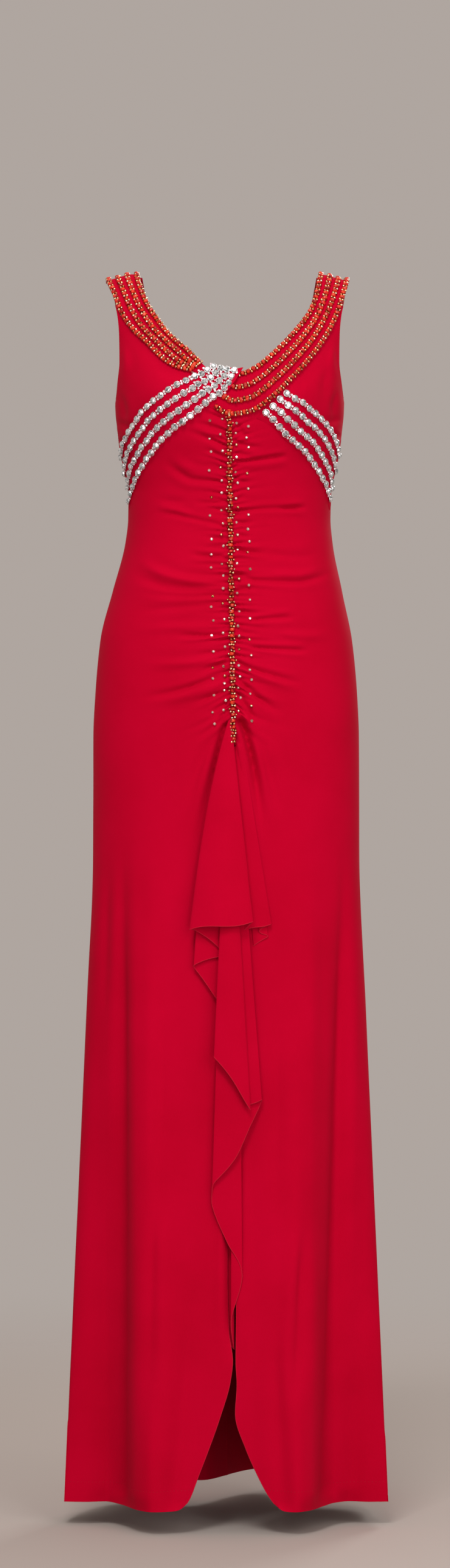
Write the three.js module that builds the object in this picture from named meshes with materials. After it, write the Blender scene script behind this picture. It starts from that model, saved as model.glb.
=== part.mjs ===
// A sleeveless, floor-length evening gown in red crepe, in the hollow form it has when worn.
// Millimetres, +Z up, front towards -Y, wearer's left towards +X.
// The origin lies between the tops of the two shoulder straps, where the wearer carries the gown.
// Every piece is a thin closed wall laid on one body form; pieces that meet at a seam stay a small gap apart.
import * as THREE from 'three';

// ---------- driving dimensions ----------
const panelCloth = 1.6;        // wall of bodice and skirt panels
const bandCloth = 1.2;         // wall of the bands laid on the panels
const flounceCloth = 1.1;      // wall of the cascade
const seamGap = 0.3;           // between two pieces at a seam
const bandClearance = 1.4;     // between a panel and the band that lies on it
const hemHeight = -1548;
const skirtTop = -650;         // the flare and the lower folds start here
const underarmHeight = -165;
const shoulderRound = 6;       // roundness of the shoulder ridge from front to back
const bandEndHeight = -262;    // where the under-bust seam meets the side seam
const gatherTop = -176;
const gatherBottom = -596;
const gatherPitch = 15;        // one gather along the centre-front seam
const gatherDepth = 2.6;
const beadRidge = 2.6;         // height of a bead row on a strap
const stoneHeight = 3.2;       // height of a stone on a rhinestone band
const stonePitch = 12.3;
const bandReach = 85;          // degrees round the form; the side seam is at 90
const toRadians = Math.PI / 180;

// ---------- short tables ----------
// Horizontal sections: half width, depth of the front and of the back from the side seam,
// sideways shift of the section, and squareness (2 is an ellipse).
const sections = [
  { z: 0, side: 155, front: 20, back: 24, shift: 4, square: 2.6 },
  { z: -30, side: 152, front: 42, back: 52, shift: 4, square: 2.6 },
  { z: -60, side: 149, front: 64, back: 80, shift: 4, square: 2.6 },
  { z: -93, side: 147, front: 84, back: 98, shift: 4, square: 2.6 },
  { z: -124, side: 146, front: 100, back: 106, shift: 4, square: 2.5 },
  { z: -165, side: 144.5, front: 108, back: 108, shift: 4.5, square: 2.4 },
  { z: -216, side: 140, front: 104, back: 100, shift: 4.5, square: 2.3 },
  { z: -247, side: 134, front: 98, back: 88, shift: 4.5, square: 2.2 },
  { z: -278, side: 128, front: 93, back: 78, shift: 4.5, square: 2.2 },
  { z: -308, side: 128, front: 92, back: 78, shift: 4, square: 2.2 },
  { z: -339, side: 131, front: 94, back: 84, shift: 3.5, square: 2.2 },
  { z: -401, side: 145, front: 100, back: 102, shift: 1.5, square: 2.2 },
  { z: -462, side: 159, front: 104, back: 120, shift: 0, square: 2.2 },
  { z: -524, side: 165, front: 105, back: 128, shift: 0, square: 2.2 },
  { z: -585, side: 168, front: 104, back: 126, shift: 0, square: 2.2 },
  { z: -740, side: 168.5, front: 98, back: 122, shift: 0, square: 2.2 },
  { z: -924, side: 176.5, front: 97, back: 136, shift: 0, square: 2.1 },
  { z: -1170, side: 187.5, front: 100, back: 164, shift: 0, square: 2 },
  { z: -1416, side: 198.5, front: 104, back: 195, shift: 0, square: 2 },
  { z: -1548, side: 204, front: 107, back: 214, shift: 0, square: 2 },
];

// Plan of the front hem, from the right side seam to the left one.
const frontHemPlan = [
  { x: -204, depth: 18 },
  { x: -178, depth: 20.5 },
  { x: -152, depth: 17 },
  { x: -132, depth: 42 },
  { x: -110, depth: 90 },
  { x: -91, depth: 107 },
  { x: -60, depth: 99 },
  { x: -30, depth: 92 },
  { x: 30, depth: 93 },
  { x: 60, depth: 100 },
  { x: 86, depth: 107 },
  { x: 104, depth: 93 },
  { x: 122, depth: 56 },
  { x: 136, depth: 28 },
  { x: 156, depth: 15 },
  { x: 180, depth: 20 },
  { x: 204, depth: 18 },
];

// Folds of the back skirt at the hem: place round the back from its centre, how far it stands out, breadth.
const backFolds = [
  { around: 12, out: 72, breadth: 10 },
  { around: -11, out: -44, breadth: 12 },
  { around: 32, out: -22, breadth: 11 },
  { around: -36, out: 16, breadth: 13 },
  { around: 54, out: 16, breadth: 12 },
  { around: -60, out: -9, breadth: 11 },
  { around: 74, out: -8, breadth: 9 },
];

// Bust: the two cups of the bodice.
const cups = { apart: 72, height: -172, breadth: 42, rise: 46, out: 10 };

// Front armhole edge: half width from the middle of the bodice.
const frontArmhole = [
  { z: -8, half: 153 },
  { z: -30, half: 147 },
  { z: -55, half: 141 },
  { z: -80, half: 139 },
  { z: -115, half: 138.5 },
  { z: -140, half: 141.4 },
  { z: -155, half: 143.3 },
  { z: -165, half: 144.5 },
];

// Back armhole edge, the same way.
const backArmhole = [
  { z: 0, half: 151 },
  { z: -30, half: 146 },
  { z: -60, half: 141 },
  { z: -100, half: 138 },
  { z: -130, half: 140 },
  { z: -150, half: 142.6 },
  { z: -160, half: 144 },
  { z: -165, half: 144.5 },
];

// Back neckline, from the centre-back seam to the shoulder.
const backNeckline = [
  { x: 0, z: -152 },
  { x: 40, z: -146 },
  { x: 72, z: -122 },
  { x: 92, z: -84 },
  { x: 104, z: -40 },
  { x: 110, z: -3.2 },
];

// Strap bands from the shoulder seam downwards: neckline edge and outer edge in front view.
// Rows with behind set lie on the back of the shoulder ridge.
const rightStrap = [
  { innerX: -110, innerZ: -2.6, outerX: -152, outerZ: -9.5, behind: true },
  { innerX: -110, innerZ: -0.8, outerX: -152, outerZ: -7.8, behind: true },
  { innerX: -110, innerZ: 0, outerX: -152, outerZ: -7, behind: false },
  { innerX: -110, innerZ: -1.4, outerX: -151.5, outerZ: -9, behind: false },
  { innerX: -109, innerZ: -8, outerX: -149, outerZ: -15, behind: false },
  { innerX: -104, innerZ: -24, outerX: -143, outerZ: -29, behind: false },
  { innerX: -95, innerZ: -45, outerX: -137.5, outerZ: -45, behind: false },
  { innerX: -84, innerZ: -62, outerX: -129, outerZ: -61, behind: false },
  { innerX: -73, innerZ: -78, outerX: -115, outerZ: -79, behind: false },
  { innerX: -60, innerZ: -92, outerX: -101, outerZ: -93, behind: false },
  { innerX: -46, innerZ: -104, outerX: -83, outerZ: -113, behind: false },
  { innerX: -36, innerZ: -115, outerX: -66, outerZ: -125, behind: false },
  { innerX: -25.5, innerZ: -126, outerX: -40, outerZ: -132.5, behind: false },
];

const leftStrap = [
  { innerX: 117, innerZ: -2.6, outerX: 155, outerZ: -9.6, behind: true },
  { innerX: 117, innerZ: -0.8, outerX: 155, outerZ: -7.8, behind: true },
  { innerX: 117, innerZ: 0, outerX: 155, outerZ: -7, behind: false },
  { innerX: 117, innerZ: -1.4, outerX: 155, outerZ: -9.5, behind: false },
  { innerX: 115.5, innerZ: -8, outerX: 153, outerZ: -17, behind: false },
  { innerX: 113.5, innerZ: -20, outerX: 149.5, outerZ: -29, behind: false },
  { innerX: 110, innerZ: -34, outerX: 144.5, outerZ: -45, behind: false },
  { innerX: 103, innerZ: -52, outerX: 137, outerZ: -63, behind: false },
  { innerX: 92, innerZ: -68, outerX: 127, outerZ: -83, behind: false },
  { innerX: 78, innerZ: -85, outerX: 113, outerZ: -105, behind: false },
  { innerX: 60, innerZ: -104, outerX: 97, outerZ: -126, behind: false },
  { innerX: 47, innerZ: -116, outerX: 81, outerZ: -144.5, behind: false },
  { innerX: 36, innerZ: -124, outerX: 58.5, outerZ: -167, behind: false },
  { innerX: 26, innerZ: -129, outerX: 31, outerZ: -185, behind: false },
  { innerX: 20, innerZ: -131.5, outerX: 4, outerZ: -189, behind: false },
  { innerX: 16, innerZ: -132.5, outerX: -17.5, outerZ: -178, behind: false },
];

// Rhinestone bands from the centre to the side seam: upper and lower edge in front view.
const rightBand = [
  { upperX: -18, upperZ: -125.5, lowerX: 13, lowerZ: -132.5 },
  { upperX: -28, upperZ: -130, lowerX: -2, lowerZ: -152 },
  { upperX: -44, upperZ: -137, lowerX: -19, lowerZ: -171 },
  { upperX: -64, upperZ: -145, lowerX: -43, lowerZ: -192 },
  { upperX: -86, upperZ: -159, lowerX: -60, lowerZ: -204.5 },
  { upperX: -104, upperZ: -173, lowerX: -75, lowerZ: -218 },
  { upperX: -117, upperZ: -191, lowerX: -89, lowerZ: -234 },
  { upperX: -126, upperZ: -205, lowerX: -101, lowerZ: -251 },
  { upperX: -130.4, upperZ: -215, lowerX: -112, lowerZ: -271 },
  { upperX: -131.9, upperZ: -222.5, lowerX: -119, lowerZ: -288 },
  { upperX: -132.3, upperZ: -229, lowerX: -122, lowerZ: -299 },
];

const leftBand = [
  { upperX: 82, upperZ: -150, lowerX: 38, lowerZ: -190 },
  { upperX: 98, upperZ: -166, lowerX: 58, lowerZ: -201 },
  { upperX: 115, upperZ: -180, lowerX: 74, lowerZ: -217 },
  { upperX: 128, upperZ: -192, lowerX: 91, lowerZ: -231 },
  { upperX: 136, upperZ: -205, lowerX: 104, lowerZ: -247 },
  { upperX: 139.9, upperZ: -216, lowerX: 115, lowerZ: -263 },
  { upperX: 141.2, upperZ: -223.5, lowerX: 125, lowerZ: -281 },
  { upperX: 141.4, upperZ: -230, lowerX: 130.5, lowerZ: -299 },
];

// Under-bust seam hidden by the bands, across the whole front.
const bustSeam = [
  { x: -126, z: -262 },
  { x: -118, z: -240 },
  { x: -109, z: -222 },
  { x: -96, z: -205 },
  { x: -82, z: -190 },
  { x: -64, z: -177 },
  { x: -44, z: -164 },
  { x: -21, z: -153 },
  { x: 4, z: -155 },
  { x: 30, z: -159 },
  { x: 60, z: -173 },
  { x: 79, z: -185 },
  { x: 95, z: -199 },
  { x: 110, z: -213 },
  { x: 122, z: -228 },
  { x: 130, z: -245 },
  { x: 135.5, z: -262 },
];

// Where each cup meets the strap that lies on its inner edge.
const rightCupEdge = [
  { x: -134.5, z: -43 },
  { x: -125, z: -61 },
  { x: -111, z: -78 },
  { x: -97, z: -91.5 },
  { x: -79, z: -110.5 },
  { x: -62, z: -122 },
  { x: -40, z: -134 },
];

const leftCupEdge = [
  { x: 140.5, z: -44 },
  { x: 132.5, z: -62 },
  { x: 123, z: -81 },
  { x: 109, z: -102 },
  { x: 93, z: -123 },
  { x: 78, z: -143 },
  { x: 57, z: -167 },
];

// Centre-front edges of the two front panels, a seam above and a slit below: the right panel's edge,
// and the gap from it to the left panel's edge.
const centreEdges = [
  { z: -120, rightPanel: 3.65, gap: 0.3 },
  { z: -184, rightPanel: 3.75, gap: 0.3 },
  { z: -590, rightPanel: 8.35, gap: 0.3 },
  { z: -614, rightPanel: 8.4, gap: 1 },
  { z: -700, rightPanel: 6, gap: 8 },
  { z: -820, rightPanel: 4.5, gap: 13.5 },
  { z: -1095, rightPanel: 4.5, gap: 14.5 },
  { z: -1255, rightPanel: 4.5, gap: 14.5 },
  { z: -1325, rightPanel: 5, gap: 10 },
  { z: -1362, rightPanel: 8.6, gap: 3.6 },
  { z: -1388, rightPanel: 5, gap: 8.4 },
  { z: -1430, rightPanel: -7, gap: 18.5 },
  { z: -1470, rightPanel: -21, gap: 45 },
  { z: -1510, rightPanel: -36.5, gap: 78.5 },
  { z: -1534, rightPanel: -46, gap: 102 },
  { z: -1548, rightPanel: -56, gap: 123 },
];

// Fall of the gathers and of the cloth grain away from the centre seam: drop per mm outwards.
const gatherSlope = [
  { z: -150, rise: 0.45 },
  { z: -200, rise: 0.45 },
  { z: -300, rise: 0.15 },
  { z: -380, rise: 0 },
  { z: -450, rise: -0.1 },
  { z: -500, rise: -0.38 },
  { z: -540, rise: -0.8 },
  { z: -585, rise: -1.45 },
  { z: -620, rise: -1.55 },
  { z: -700, rise: -1.2 },
  { z: -900, rise: -0.5 },
  { z: -1200, rise: 0 },
  { z: -1250, rise: 0 },
];
const slopeReach = 60;
const slitStart = { z: -1255, rightX: 4.5, leftX: 19 };
const slitReach = 72;

// Fold lines of the cascade, from the layer next to the skirt outwards.
// Each runs from a top to a foot, given in front view and by its distance out from the skirt.
const tongueFolds = [
  { topX: -9, topZ: -745, topOut: 6.5, footX: -16, footZ: -905, footOut: 7.5 },
  { topX: -19, topZ: -745, topOut: 6, footX: -40.5, footZ: -871, footOut: 6.5 },
  { topX: -18.6, topZ: -745, topOut: 9, footX: -40, footZ: -869, footOut: 10 },
  { topX: -5, topZ: -705, topOut: 8.6, footX: -10.5, footZ: -855, footOut: 12 },
  { topX: -4.5, topZ: -685, topOut: 12, footX: -11, footZ: -850, footOut: 15.5 },
  { topX: 3.2, topZ: -572, topOut: 3.2, footX: -44.5, footZ: -823, footOut: 15 },
  { topX: 2.6, topZ: -567, topOut: 6.4, footX: -45.6, footZ: -824.5, footOut: 19 },
  { topX: 5, topZ: -564, topOut: 7.6, footX: -8, footZ: -820, footOut: 29 },
  { topX: 8.2, topZ: -584, topOut: 6.6, footX: 33, footZ: -814.5, footOut: 22 },
  { topX: 8.6, topZ: -589, topOut: 3.8, footX: 32, footZ: -815, footOut: 18 },
  { topX: 13, topZ: -600, topOut: 5.4, footX: 38, footZ: -820, footOut: 9.5 },
  { topX: 16.5, topZ: -603, topOut: 5.2, footX: 56, footZ: -818, footOut: 7 },
  { topX: 15, topZ: -612, topOut: 1.8, footX: 51, footZ: -829, footOut: 2.6 },
  { topX: 11.5, topZ: -622, topOut: 1.1, footX: 34, footZ: -843, footOut: 1.6 },
];

const fallFolds = [
  { topX: 9.5, topZ: -662, topOut: -6, footX: 10, footZ: -1348, footOut: -5 },
  { topX: 9.8, topZ: -660, topOut: 2.4, footX: 6, footZ: -1313, footOut: 2.4 },
  { topX: 15, topZ: -665, topOut: 4.6, footX: 19.8, footZ: -1255, footOut: 4 },
  { topX: 7, topZ: -670, topOut: 6, footX: 1, footZ: -1213, footOut: 5.5 },
  { topX: -1, topZ: -675, topOut: 6.4, footX: -18, footZ: -1163, footOut: 5.5 },
  { topX: -2, topZ: -675, topOut: 9.6, footX: -17.2, footZ: -1144, footOut: 9.5 },
  { topX: 7, topZ: -685, topOut: 10.6, footX: 14, footZ: -1104, footOut: 12 },
  { topX: 15, topZ: -700, topOut: 8, footX: 31, footZ: -1066, footOut: 9.5 },
  { topX: 21, topZ: -742, topOut: 6.5, footX: 43, footZ: -1040, footOut: 6.5 },
  { topX: 21.5, topZ: -742, topOut: 9.5, footX: 44, footZ: -1036, footOut: 10.5 },
  { topX: 15, topZ: -798, topOut: 19, footX: 31, footZ: -1060, footOut: 19 },
  { topX: 5, topZ: -798, topOut: 21.5, footX: 10, footZ: -1014, footOut: 22 },
  { topX: -5.5, topZ: -798, topOut: 19.5, footX: -15, footZ: -982, footOut: 19.5 },
  { topX: -5, topZ: -798, topOut: 16, footX: -14, footZ: -978, footOut: 16 },
  { topX: 3, topZ: -798, topOut: 15, footX: 4, footZ: -950, footOut: 15.5 },
];

// ---------- curves through the tables ----------
function smoothstep(low, high, value) {
  const t = Math.min(Math.max((value - low) / (high - low), 0), 1);
  return t * t * (3 - 2 * t);
}

// Cubic through the rows of a table, with slopes limited so that it does not overshoot.
function curve(table, along, column, at) {
  const rising = table[table.length - 1][along] > table[0][along];
  let i = 0;
  while (i < table.length - 2 && (rising ? at > table[i + 1][along] : at < table[i + 1][along])) i += 1;
  const step = (k) => table[k + 1][along] - table[k][along];
  const grade = (k) => (table[k + 1][column] - table[k][column]) / step(k);
  const tangent = (k) => {
    if (k === 0) return grade(0);
    if (k === table.length - 1) return grade(k - 1);
    const before = grade(k - 1);
    const after = grade(k);
    return before * after <= 0 ? 0 : (2 * before * after) / (before + after);
  };
  const h = step(i);
  const t = (at - table[i][along]) / h;
  if (t < 0) return table[i][column] + tangent(i) * (at - table[i][along]);
  if (t > 1) return table[i + 1][column] + tangent(i + 1) * (at - table[i + 1][along]);
  const t2 = t * t;
  const t3 = t2 * t;
  return (2 * t3 - 3 * t2 + 1) * table[i][column] + (t3 - 2 * t2 + t) * h * tangent(i)
    + (3 * t2 - 2 * t3) * table[i + 1][column] + (t3 - t2) * h * tangent(i + 1);
}

const section = (column, z) => curve(sections, 'z', column, z);

// ---------- the body form ----------
// The shoulder ridge drops towards the arm, and both sides fall away from it.
const ridge = (x) => -7 * smoothstep(118, 152, Math.abs(x));
const shoulderDepth = (x, z) => shoulderRound * Math.sqrt(Math.max(ridge(x) - z, 0));
const skirtShare = (z) => Math.min(Math.max((skirtTop - z) / (skirtTop - hemHeight), 0), 1) ** 1.2;
const sideSeamDepth = (z) => 18 * skirtShare(z);

function frontPoint(angle, z) {
  const side = section('side', z);
  const square = section('square', z);
  const across = Math.sin(angle * toRadians);
  const x = section('shift', z) + side * across;
  let depth = section('front', z) * (1 - Math.min(Math.abs(across), 1) ** square) ** (1 / square);
  const cupX = (Math.abs(x - section('shift', z)) - cups.apart) / cups.breadth;
  const cupZ = (z - cups.height) / cups.rise;
  depth += cups.out * Math.exp(-cupX * cupX - cupZ * cupZ) * (1 - Math.abs(across) ** 6);
  const chest = smoothstep(35, 95, -z);
  depth = shoulderDepth(x, z) * (1 - chest) + depth * chest;
  const share = skirtShare(z);
  depth = depth * (1 - share) + curve(frontHemPlan, 'x', 'depth', x) * share;
  return new THREE.Vector3(x, -depth, z);
}

function backPoint(angle, z) {
  const side = section('side', z);
  const square = section('square', z);
  const seam = sideSeamDepth(z);
  const across = Math.sin(angle * toRadians);
  const inward = Math.max(Math.cos(angle * toRadians), 0);
  let depth = (section('back', z) + seam) * inward ** (2 / square) - seam;
  let x = section('shift', z) + side * across;
  const chest = smoothstep(35, 95, -z);
  depth = shoulderDepth(x, z) * (1 - chest) + depth * chest;
  let out = 0;
  for (const fold of backFolds) out += fold.out * Math.exp(-(((angle - fold.around) / fold.breadth) ** 2));
  out *= skirtShare(z) ** 1.15;
  x += out * across;
  return new THREE.Vector3(x, depth + out * inward, z);
}

// One ring all round: 0 is the centre front, 90 the left side seam, 180 the centre back.
function form(around, z) {
  const turn = ((((around + 180) % 360) + 360) % 360) - 180;
  if (Math.abs(turn) <= 90) return frontPoint(turn, z);
  return backPoint(turn > 0 ? 180 - turn : -180 - turn, z);
}

// Sum of the unit directions just before and just after a place on the ring: it halves the angle of a corner,
// and it is the shorter the sharper the corner is.
function formTangent(around, z) {
  const here = form(around, z);
  const ahead = form(around + 1.5, z).sub(here).normalize();
  return ahead.add(here.sub(form(around - 1.5, z)).normalize());
}

function formNormal(around, z) {
  const up = form(around, z + 3).sub(form(around, z - 3));
  return formTangent(around, z).cross(up).normalize();
}

// Angle on the form of a place given in front view.
function frontAngle(x, z) {
  const across = (x - section('shift', z)) / section('side', z);
  return Math.asin(Math.min(Math.max(across, -1), 1)) / toRadians;
}

// ---------- closed walls ----------
// A wall is a set of columns side by side. Each vertex of a column has an outer point, an inner point and
// a key that grows downwards; neighbouring columns may start and end at different keys.
function strip(left, right, face) {
  let i = 0;
  let j = 0;
  while (i < left.length - 1 || j < right.length - 1) {
    const nextLeft = i < left.length - 1 ? left[i + 1].key : Infinity;
    const nextRight = j < right.length - 1 ? right[j + 1].key : Infinity;
    if (nextLeft <= nextRight) {
      face(left[i].id, left[i + 1].id, right[j].id);
      i += 1;
    } else {
      face(left[i].id, right[j + 1].id, right[j].id);
      j += 1;
    }
  }
}

// keepColumn and keepRow thin out the inner face where it is plainer than the outer one; a vertex marked seam
// always stays, so that the two sides of a seam match.
function wall(columns, keepColumn = () => true, keepRow = () => true) {
  const positions = [];
  const faces = [];
  const vertex = (point, key) => {
    positions.push(point.x, point.y, point.z);
    return { id: positions.length / 3 - 1, key };
  };
  const face = (a, b, c) => faces.push(a, b, c);
  const outer = columns.map((column) => column.map((v) => vertex(v.outer, v.key)));
  const inner = [];
  columns.forEach((column, c) => {
    if (c !== 0 && c !== columns.length - 1 && !keepColumn(c)) return;
    const kept = column.filter((v, r) => v.seam || r === 0 || r === column.length - 1 || keepRow(v.key));
    inner.push({ c, line: kept.map((v) => vertex(v.inner, v.key)) });
  });
  for (let c = 0; c < outer.length - 1; c += 1) strip(outer[c], outer[c + 1], face);
  for (let c = 0; c < inner.length - 1; c += 1) {
    strip(inner[c].line, inner[c + 1].line, (a, b, d) => face(a, d, b));
  }
  const last = inner.length - 1;
  strip(inner[0].line, outer[0], face);
  strip(outer[outer.length - 1], inner[last].line, face);
  const edge = (lines, end) => lines.map(({ c, line }) => ({ id: line[end < 0 ? line.length - 1 : 0].id, key: c }));
  const outerLines = outer.map((line, c) => ({ c, line }));
  strip(edge(outerLines, 0), edge(inner, 0), face);
  strip(edge(inner, -1), edge(outerLines, -1), face);
  return closedGeometry(positions, faces);
}

// Turns the faces outwards if the columns ran the other way.
function closedGeometry(positions, faces) {
  let volume = 0;
  const corner = (k) => new THREE.Vector3().fromArray(positions, faces[k] * 3);
  for (let k = 0; k < faces.length; k += 3) volume += corner(k).dot(corner(k + 1).cross(corner(k + 2)));
  if (volume < 0) faces.reverse();
  const geometry = new THREE.BufferGeometry();
  geometry.setAttribute('position', new THREE.Float32BufferAttribute(positions, 3));
  geometry.setIndex(faces);
  geometry.computeVertexNormals();
  return geometry;
}

// A point of a panel: relief raises the outer face only, slide moves the point along the ring.
// The inner point goes deeper at a corner, so that the wall keeps its thickness there.
function panelVertex(around, z, key, relief = 0, slide = 0) {
  const tangent = formTangent(around, z);
  const mitre = Math.min(2 / tangent.length(), 1.6);
  const base = form(around, z).addScaledVector(tangent.normalize(), slide);
  const normal = formNormal(around, z);
  return {
    key,
    outer: base.clone().addScaledVector(normal, relief),
    inner: base.clone().addScaledVector(normal, -panelCloth * mitre),
  };
}

// A piece laid on the form or hanging free: a grid of base points, moved out along the grid's own normals.
function sheetWall(grid, { under, over, relief = () => 0, keepColumn, keepRow }) {
  const columns = grid.map((line, c) => line.map((point, r) => {
    const across = grid[Math.min(c + 1, grid.length - 1)][r].clone().sub(grid[Math.max(c - 1, 0)][r]);
    const down = line[Math.min(r + 1, line.length - 1)].clone().sub(line[Math.max(r - 1, 0)]);
    const normal = down.cross(across).normalize();
    return {
      key: r,
      outer: point.clone().addScaledVector(normal, over + relief(c, r)),
      inner: point.clone().addScaledVector(normal, under),
    };
  }));
  return wall(columns, keepColumn, keepRow);
}

// ---------- rows of the panels ----------
const backRows = [-14, -30, -50, -72, -95, -115, -133, -147, -157, -165, -190, -216, -240, -262, -285, -310, -340, -375];
backRows.push(-415, -462, -510, -560, -620, -690, -760, -830, -900, -970, -1040, -1110, -1180, -1250);
backRows.push(-1320, -1385, -1445, -1500, hemHeight);

// ---------- front panels ----------
const frontRows = [];
for (let z = gatherTop; z > gatherBottom; z -= gatherPitch / 2) frontRows.push(z);
for (const z of [-610, -628, -650, -680, -720, -770, -830, -890, -950, -1010, -1070, -1130, -1190, -1250]) {
  frontRows.push(z);
}
for (const z of [-1300, -1340, -1362, -1386, -1412, -1440, -1470, -1500, -1526, hemHeight]) frontRows.push(z);
const frontSpread = [0, 0.035, 0.075, 0.125, 0.19, 0.27, 0.36, 0.46, 0.57, 0.68, 0.79, 0.9, 1];

// Gathers along the centre seam: uneven in depth and in how far they reach outwards, and flat under the bands.
function gatherRelief(row, distance, side) {
  const z = frontRows[row];
  if (row % 2 === 0 || z < gatherBottom) return 0;
  const depth = gatherDepth * (0.72 + 0.28 * Math.sin(2.3 * row + side));
  const reach = 26 + 34 * Math.abs(Math.sin(0.83 * row + 1.4 * side));
  return depth * Math.min(0.45 + distance / 12, 1) * Math.exp(-distance / reach);
}

// Place of a height among falling heights, in rows.
function rowAt(heights, z) {
  let row = 0;
  while (row < heights.length - 2 && heights[row + 1] > z) row += 1;
  return row + (z - heights[row]) / (heights[row + 1] - heights[row]);
}

function frontPanel(side) {
  const gatherRows = frontRows.filter((z) => z > gatherBottom).length;
  const placeX = (spread, z) => {
    const rightEdge = curve(centreEdges, 'z', 'rightPanel', z);
    const edge = side > 0 ? rightEdge + curve(centreEdges, 'z', 'gap', z) : rightEdge;
    const seam = section('shift', z) + side * section('side', z);
    // The columns keep their places as the slit opens, and only those near its edge draw aside.
    const closed = side > 0 ? slitStart.leftX : slitStart.rightX;
    const even = closed + (seam - closed) * Math.sin(spread * 90 * toRadians);
    const openness = z < slitStart.z ? 1 - spread : 0;
    const drawn = even + (edge - closed) * Math.exp(-Math.abs(even - closed) / slitReach) * openness;
    const plain = edge + (seam - edge) * Math.sin(spread * 90 * toRadians);
    return z < slitStart.z ? drawn : plain;
  };
  const columns = frontSpread.map((spread) => {
    const distance = Math.sin(spread * 90 * toRadians) * 165;
    const shift = (z) => curve(gatherSlope, 'z', 'rise', z) * slopeReach * (1 - Math.exp(-distance / slopeReach));
    const slide = spread === 1 ? (-side * seamGap) / 2 : 0;
    const vertex = (z, key, relief) => {
      const x = placeX(spread, z);
      const around = spread === 1 ? side * 90 : frontAngle(x, z);
      return panelVertex(around, z, key, relief, slide);
    };
    let top = -200;
    for (let k = 0; k < 12; k += 1) top = (top + curve(bustSeam, 'x', 'z', placeX(spread, top))) / 2;
    if (spread === 1) top = bandEndHeight - seamGap;
    const column = [vertex(top - seamGap, -1, 0)];
    if (spread === 1) {
      const heights = frontRows.map((z) => z + shift(z));
      for (const z of backRows) {
        if (z < top - 3) column.push({ ...vertex(z, rowAt(heights, z), 0), seam: true });
      }
    } else {
      frontRows.forEach((seamZ, row) => {
        const cornerLift = seamZ === hemHeight ? 9 * Math.exp(-distance / 9) : 0;
        const z = seamZ + shift(seamZ) + cornerLift;
        const clearOfBand = smoothstep(24, 40, curve(bustSeam, 'x', 'z', placeX(spread, z)) - z);
        if (z < top - 3) column.push(vertex(z, row, gatherRelief(row, distance, side) * clearOfBand));
      });
    }
    column[0].key = column[1].key - 0.5;
    return column;
  });
  return wall(columns, () => true, (key) => key >= gatherRows || key % 4 === 0);
}

// ---------- back panels ----------
const backSpread = [0, 0.05, 0.1, 0.15, 0.2, 0.26, 0.32, 0.4, 0.475, 0.545, 0.64, 0.74, 0.87, 1];

function backPanel(side) {
  const halfWidth = (z) => (z > underarmHeight ? curve(backArmhole, 'z', 'half', z) : section('side', z));
  const angle = (spread, z) => {
    const across = Math.sin(spread * 90 * toRadians) * Math.min(halfWidth(z) / section('side', z), 1);
    return Math.asin(Math.min(across, 1)) / toRadians;
  };
  const columns = backSpread.map((spread) => {
    let slide = 0;
    if (spread === 0) slide = (-side * seamGap) / 2;
    if (spread === 1) slide = (side * seamGap) / 2;
    const vertex = (z, key) => panelVertex(side * (180 - angle(spread, z)), z, key, 0, slide);
    const placeX = (z) => section('side', z) * Math.sin(angle(spread, z) * toRadians);
    let top = -150;
    for (let k = 0; k < 12; k += 1) {
      top = (top + curve(backNeckline, 'x', 'z', Math.min(placeX(top), 110))) / 2;
    }
    if (placeX(top) > 108) top = ridge(placeX(top)) - 4;
    const column = [vertex(top, -1)];
    backRows.forEach((z, row) => {
      if (z < top - 5) column.push({ ...vertex(z, row), seam: spread === 1 });
    });
    column[0].key = column[1].key - 0.5;
    return column;
  });
  return wall(columns);
}

// ---------- cups ----------
// A patch spanned between four edge curves of (angle, height) pairs.
function spanned(left, right, top, bottom, u, v) {
  const mix = (a, b, t) => a.map((value, k) => value * (1 - t) + b[k] * t);
  const sides = mix(left(v), right(v), u);
  const ends = mix(top(u), bottom(u), v);
  const corners = mix(mix(left(0), right(0), u), mix(left(1), right(1), u), v);
  return sides.map((value, k) => value + ends[k] - corners[k]);
}

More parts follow.
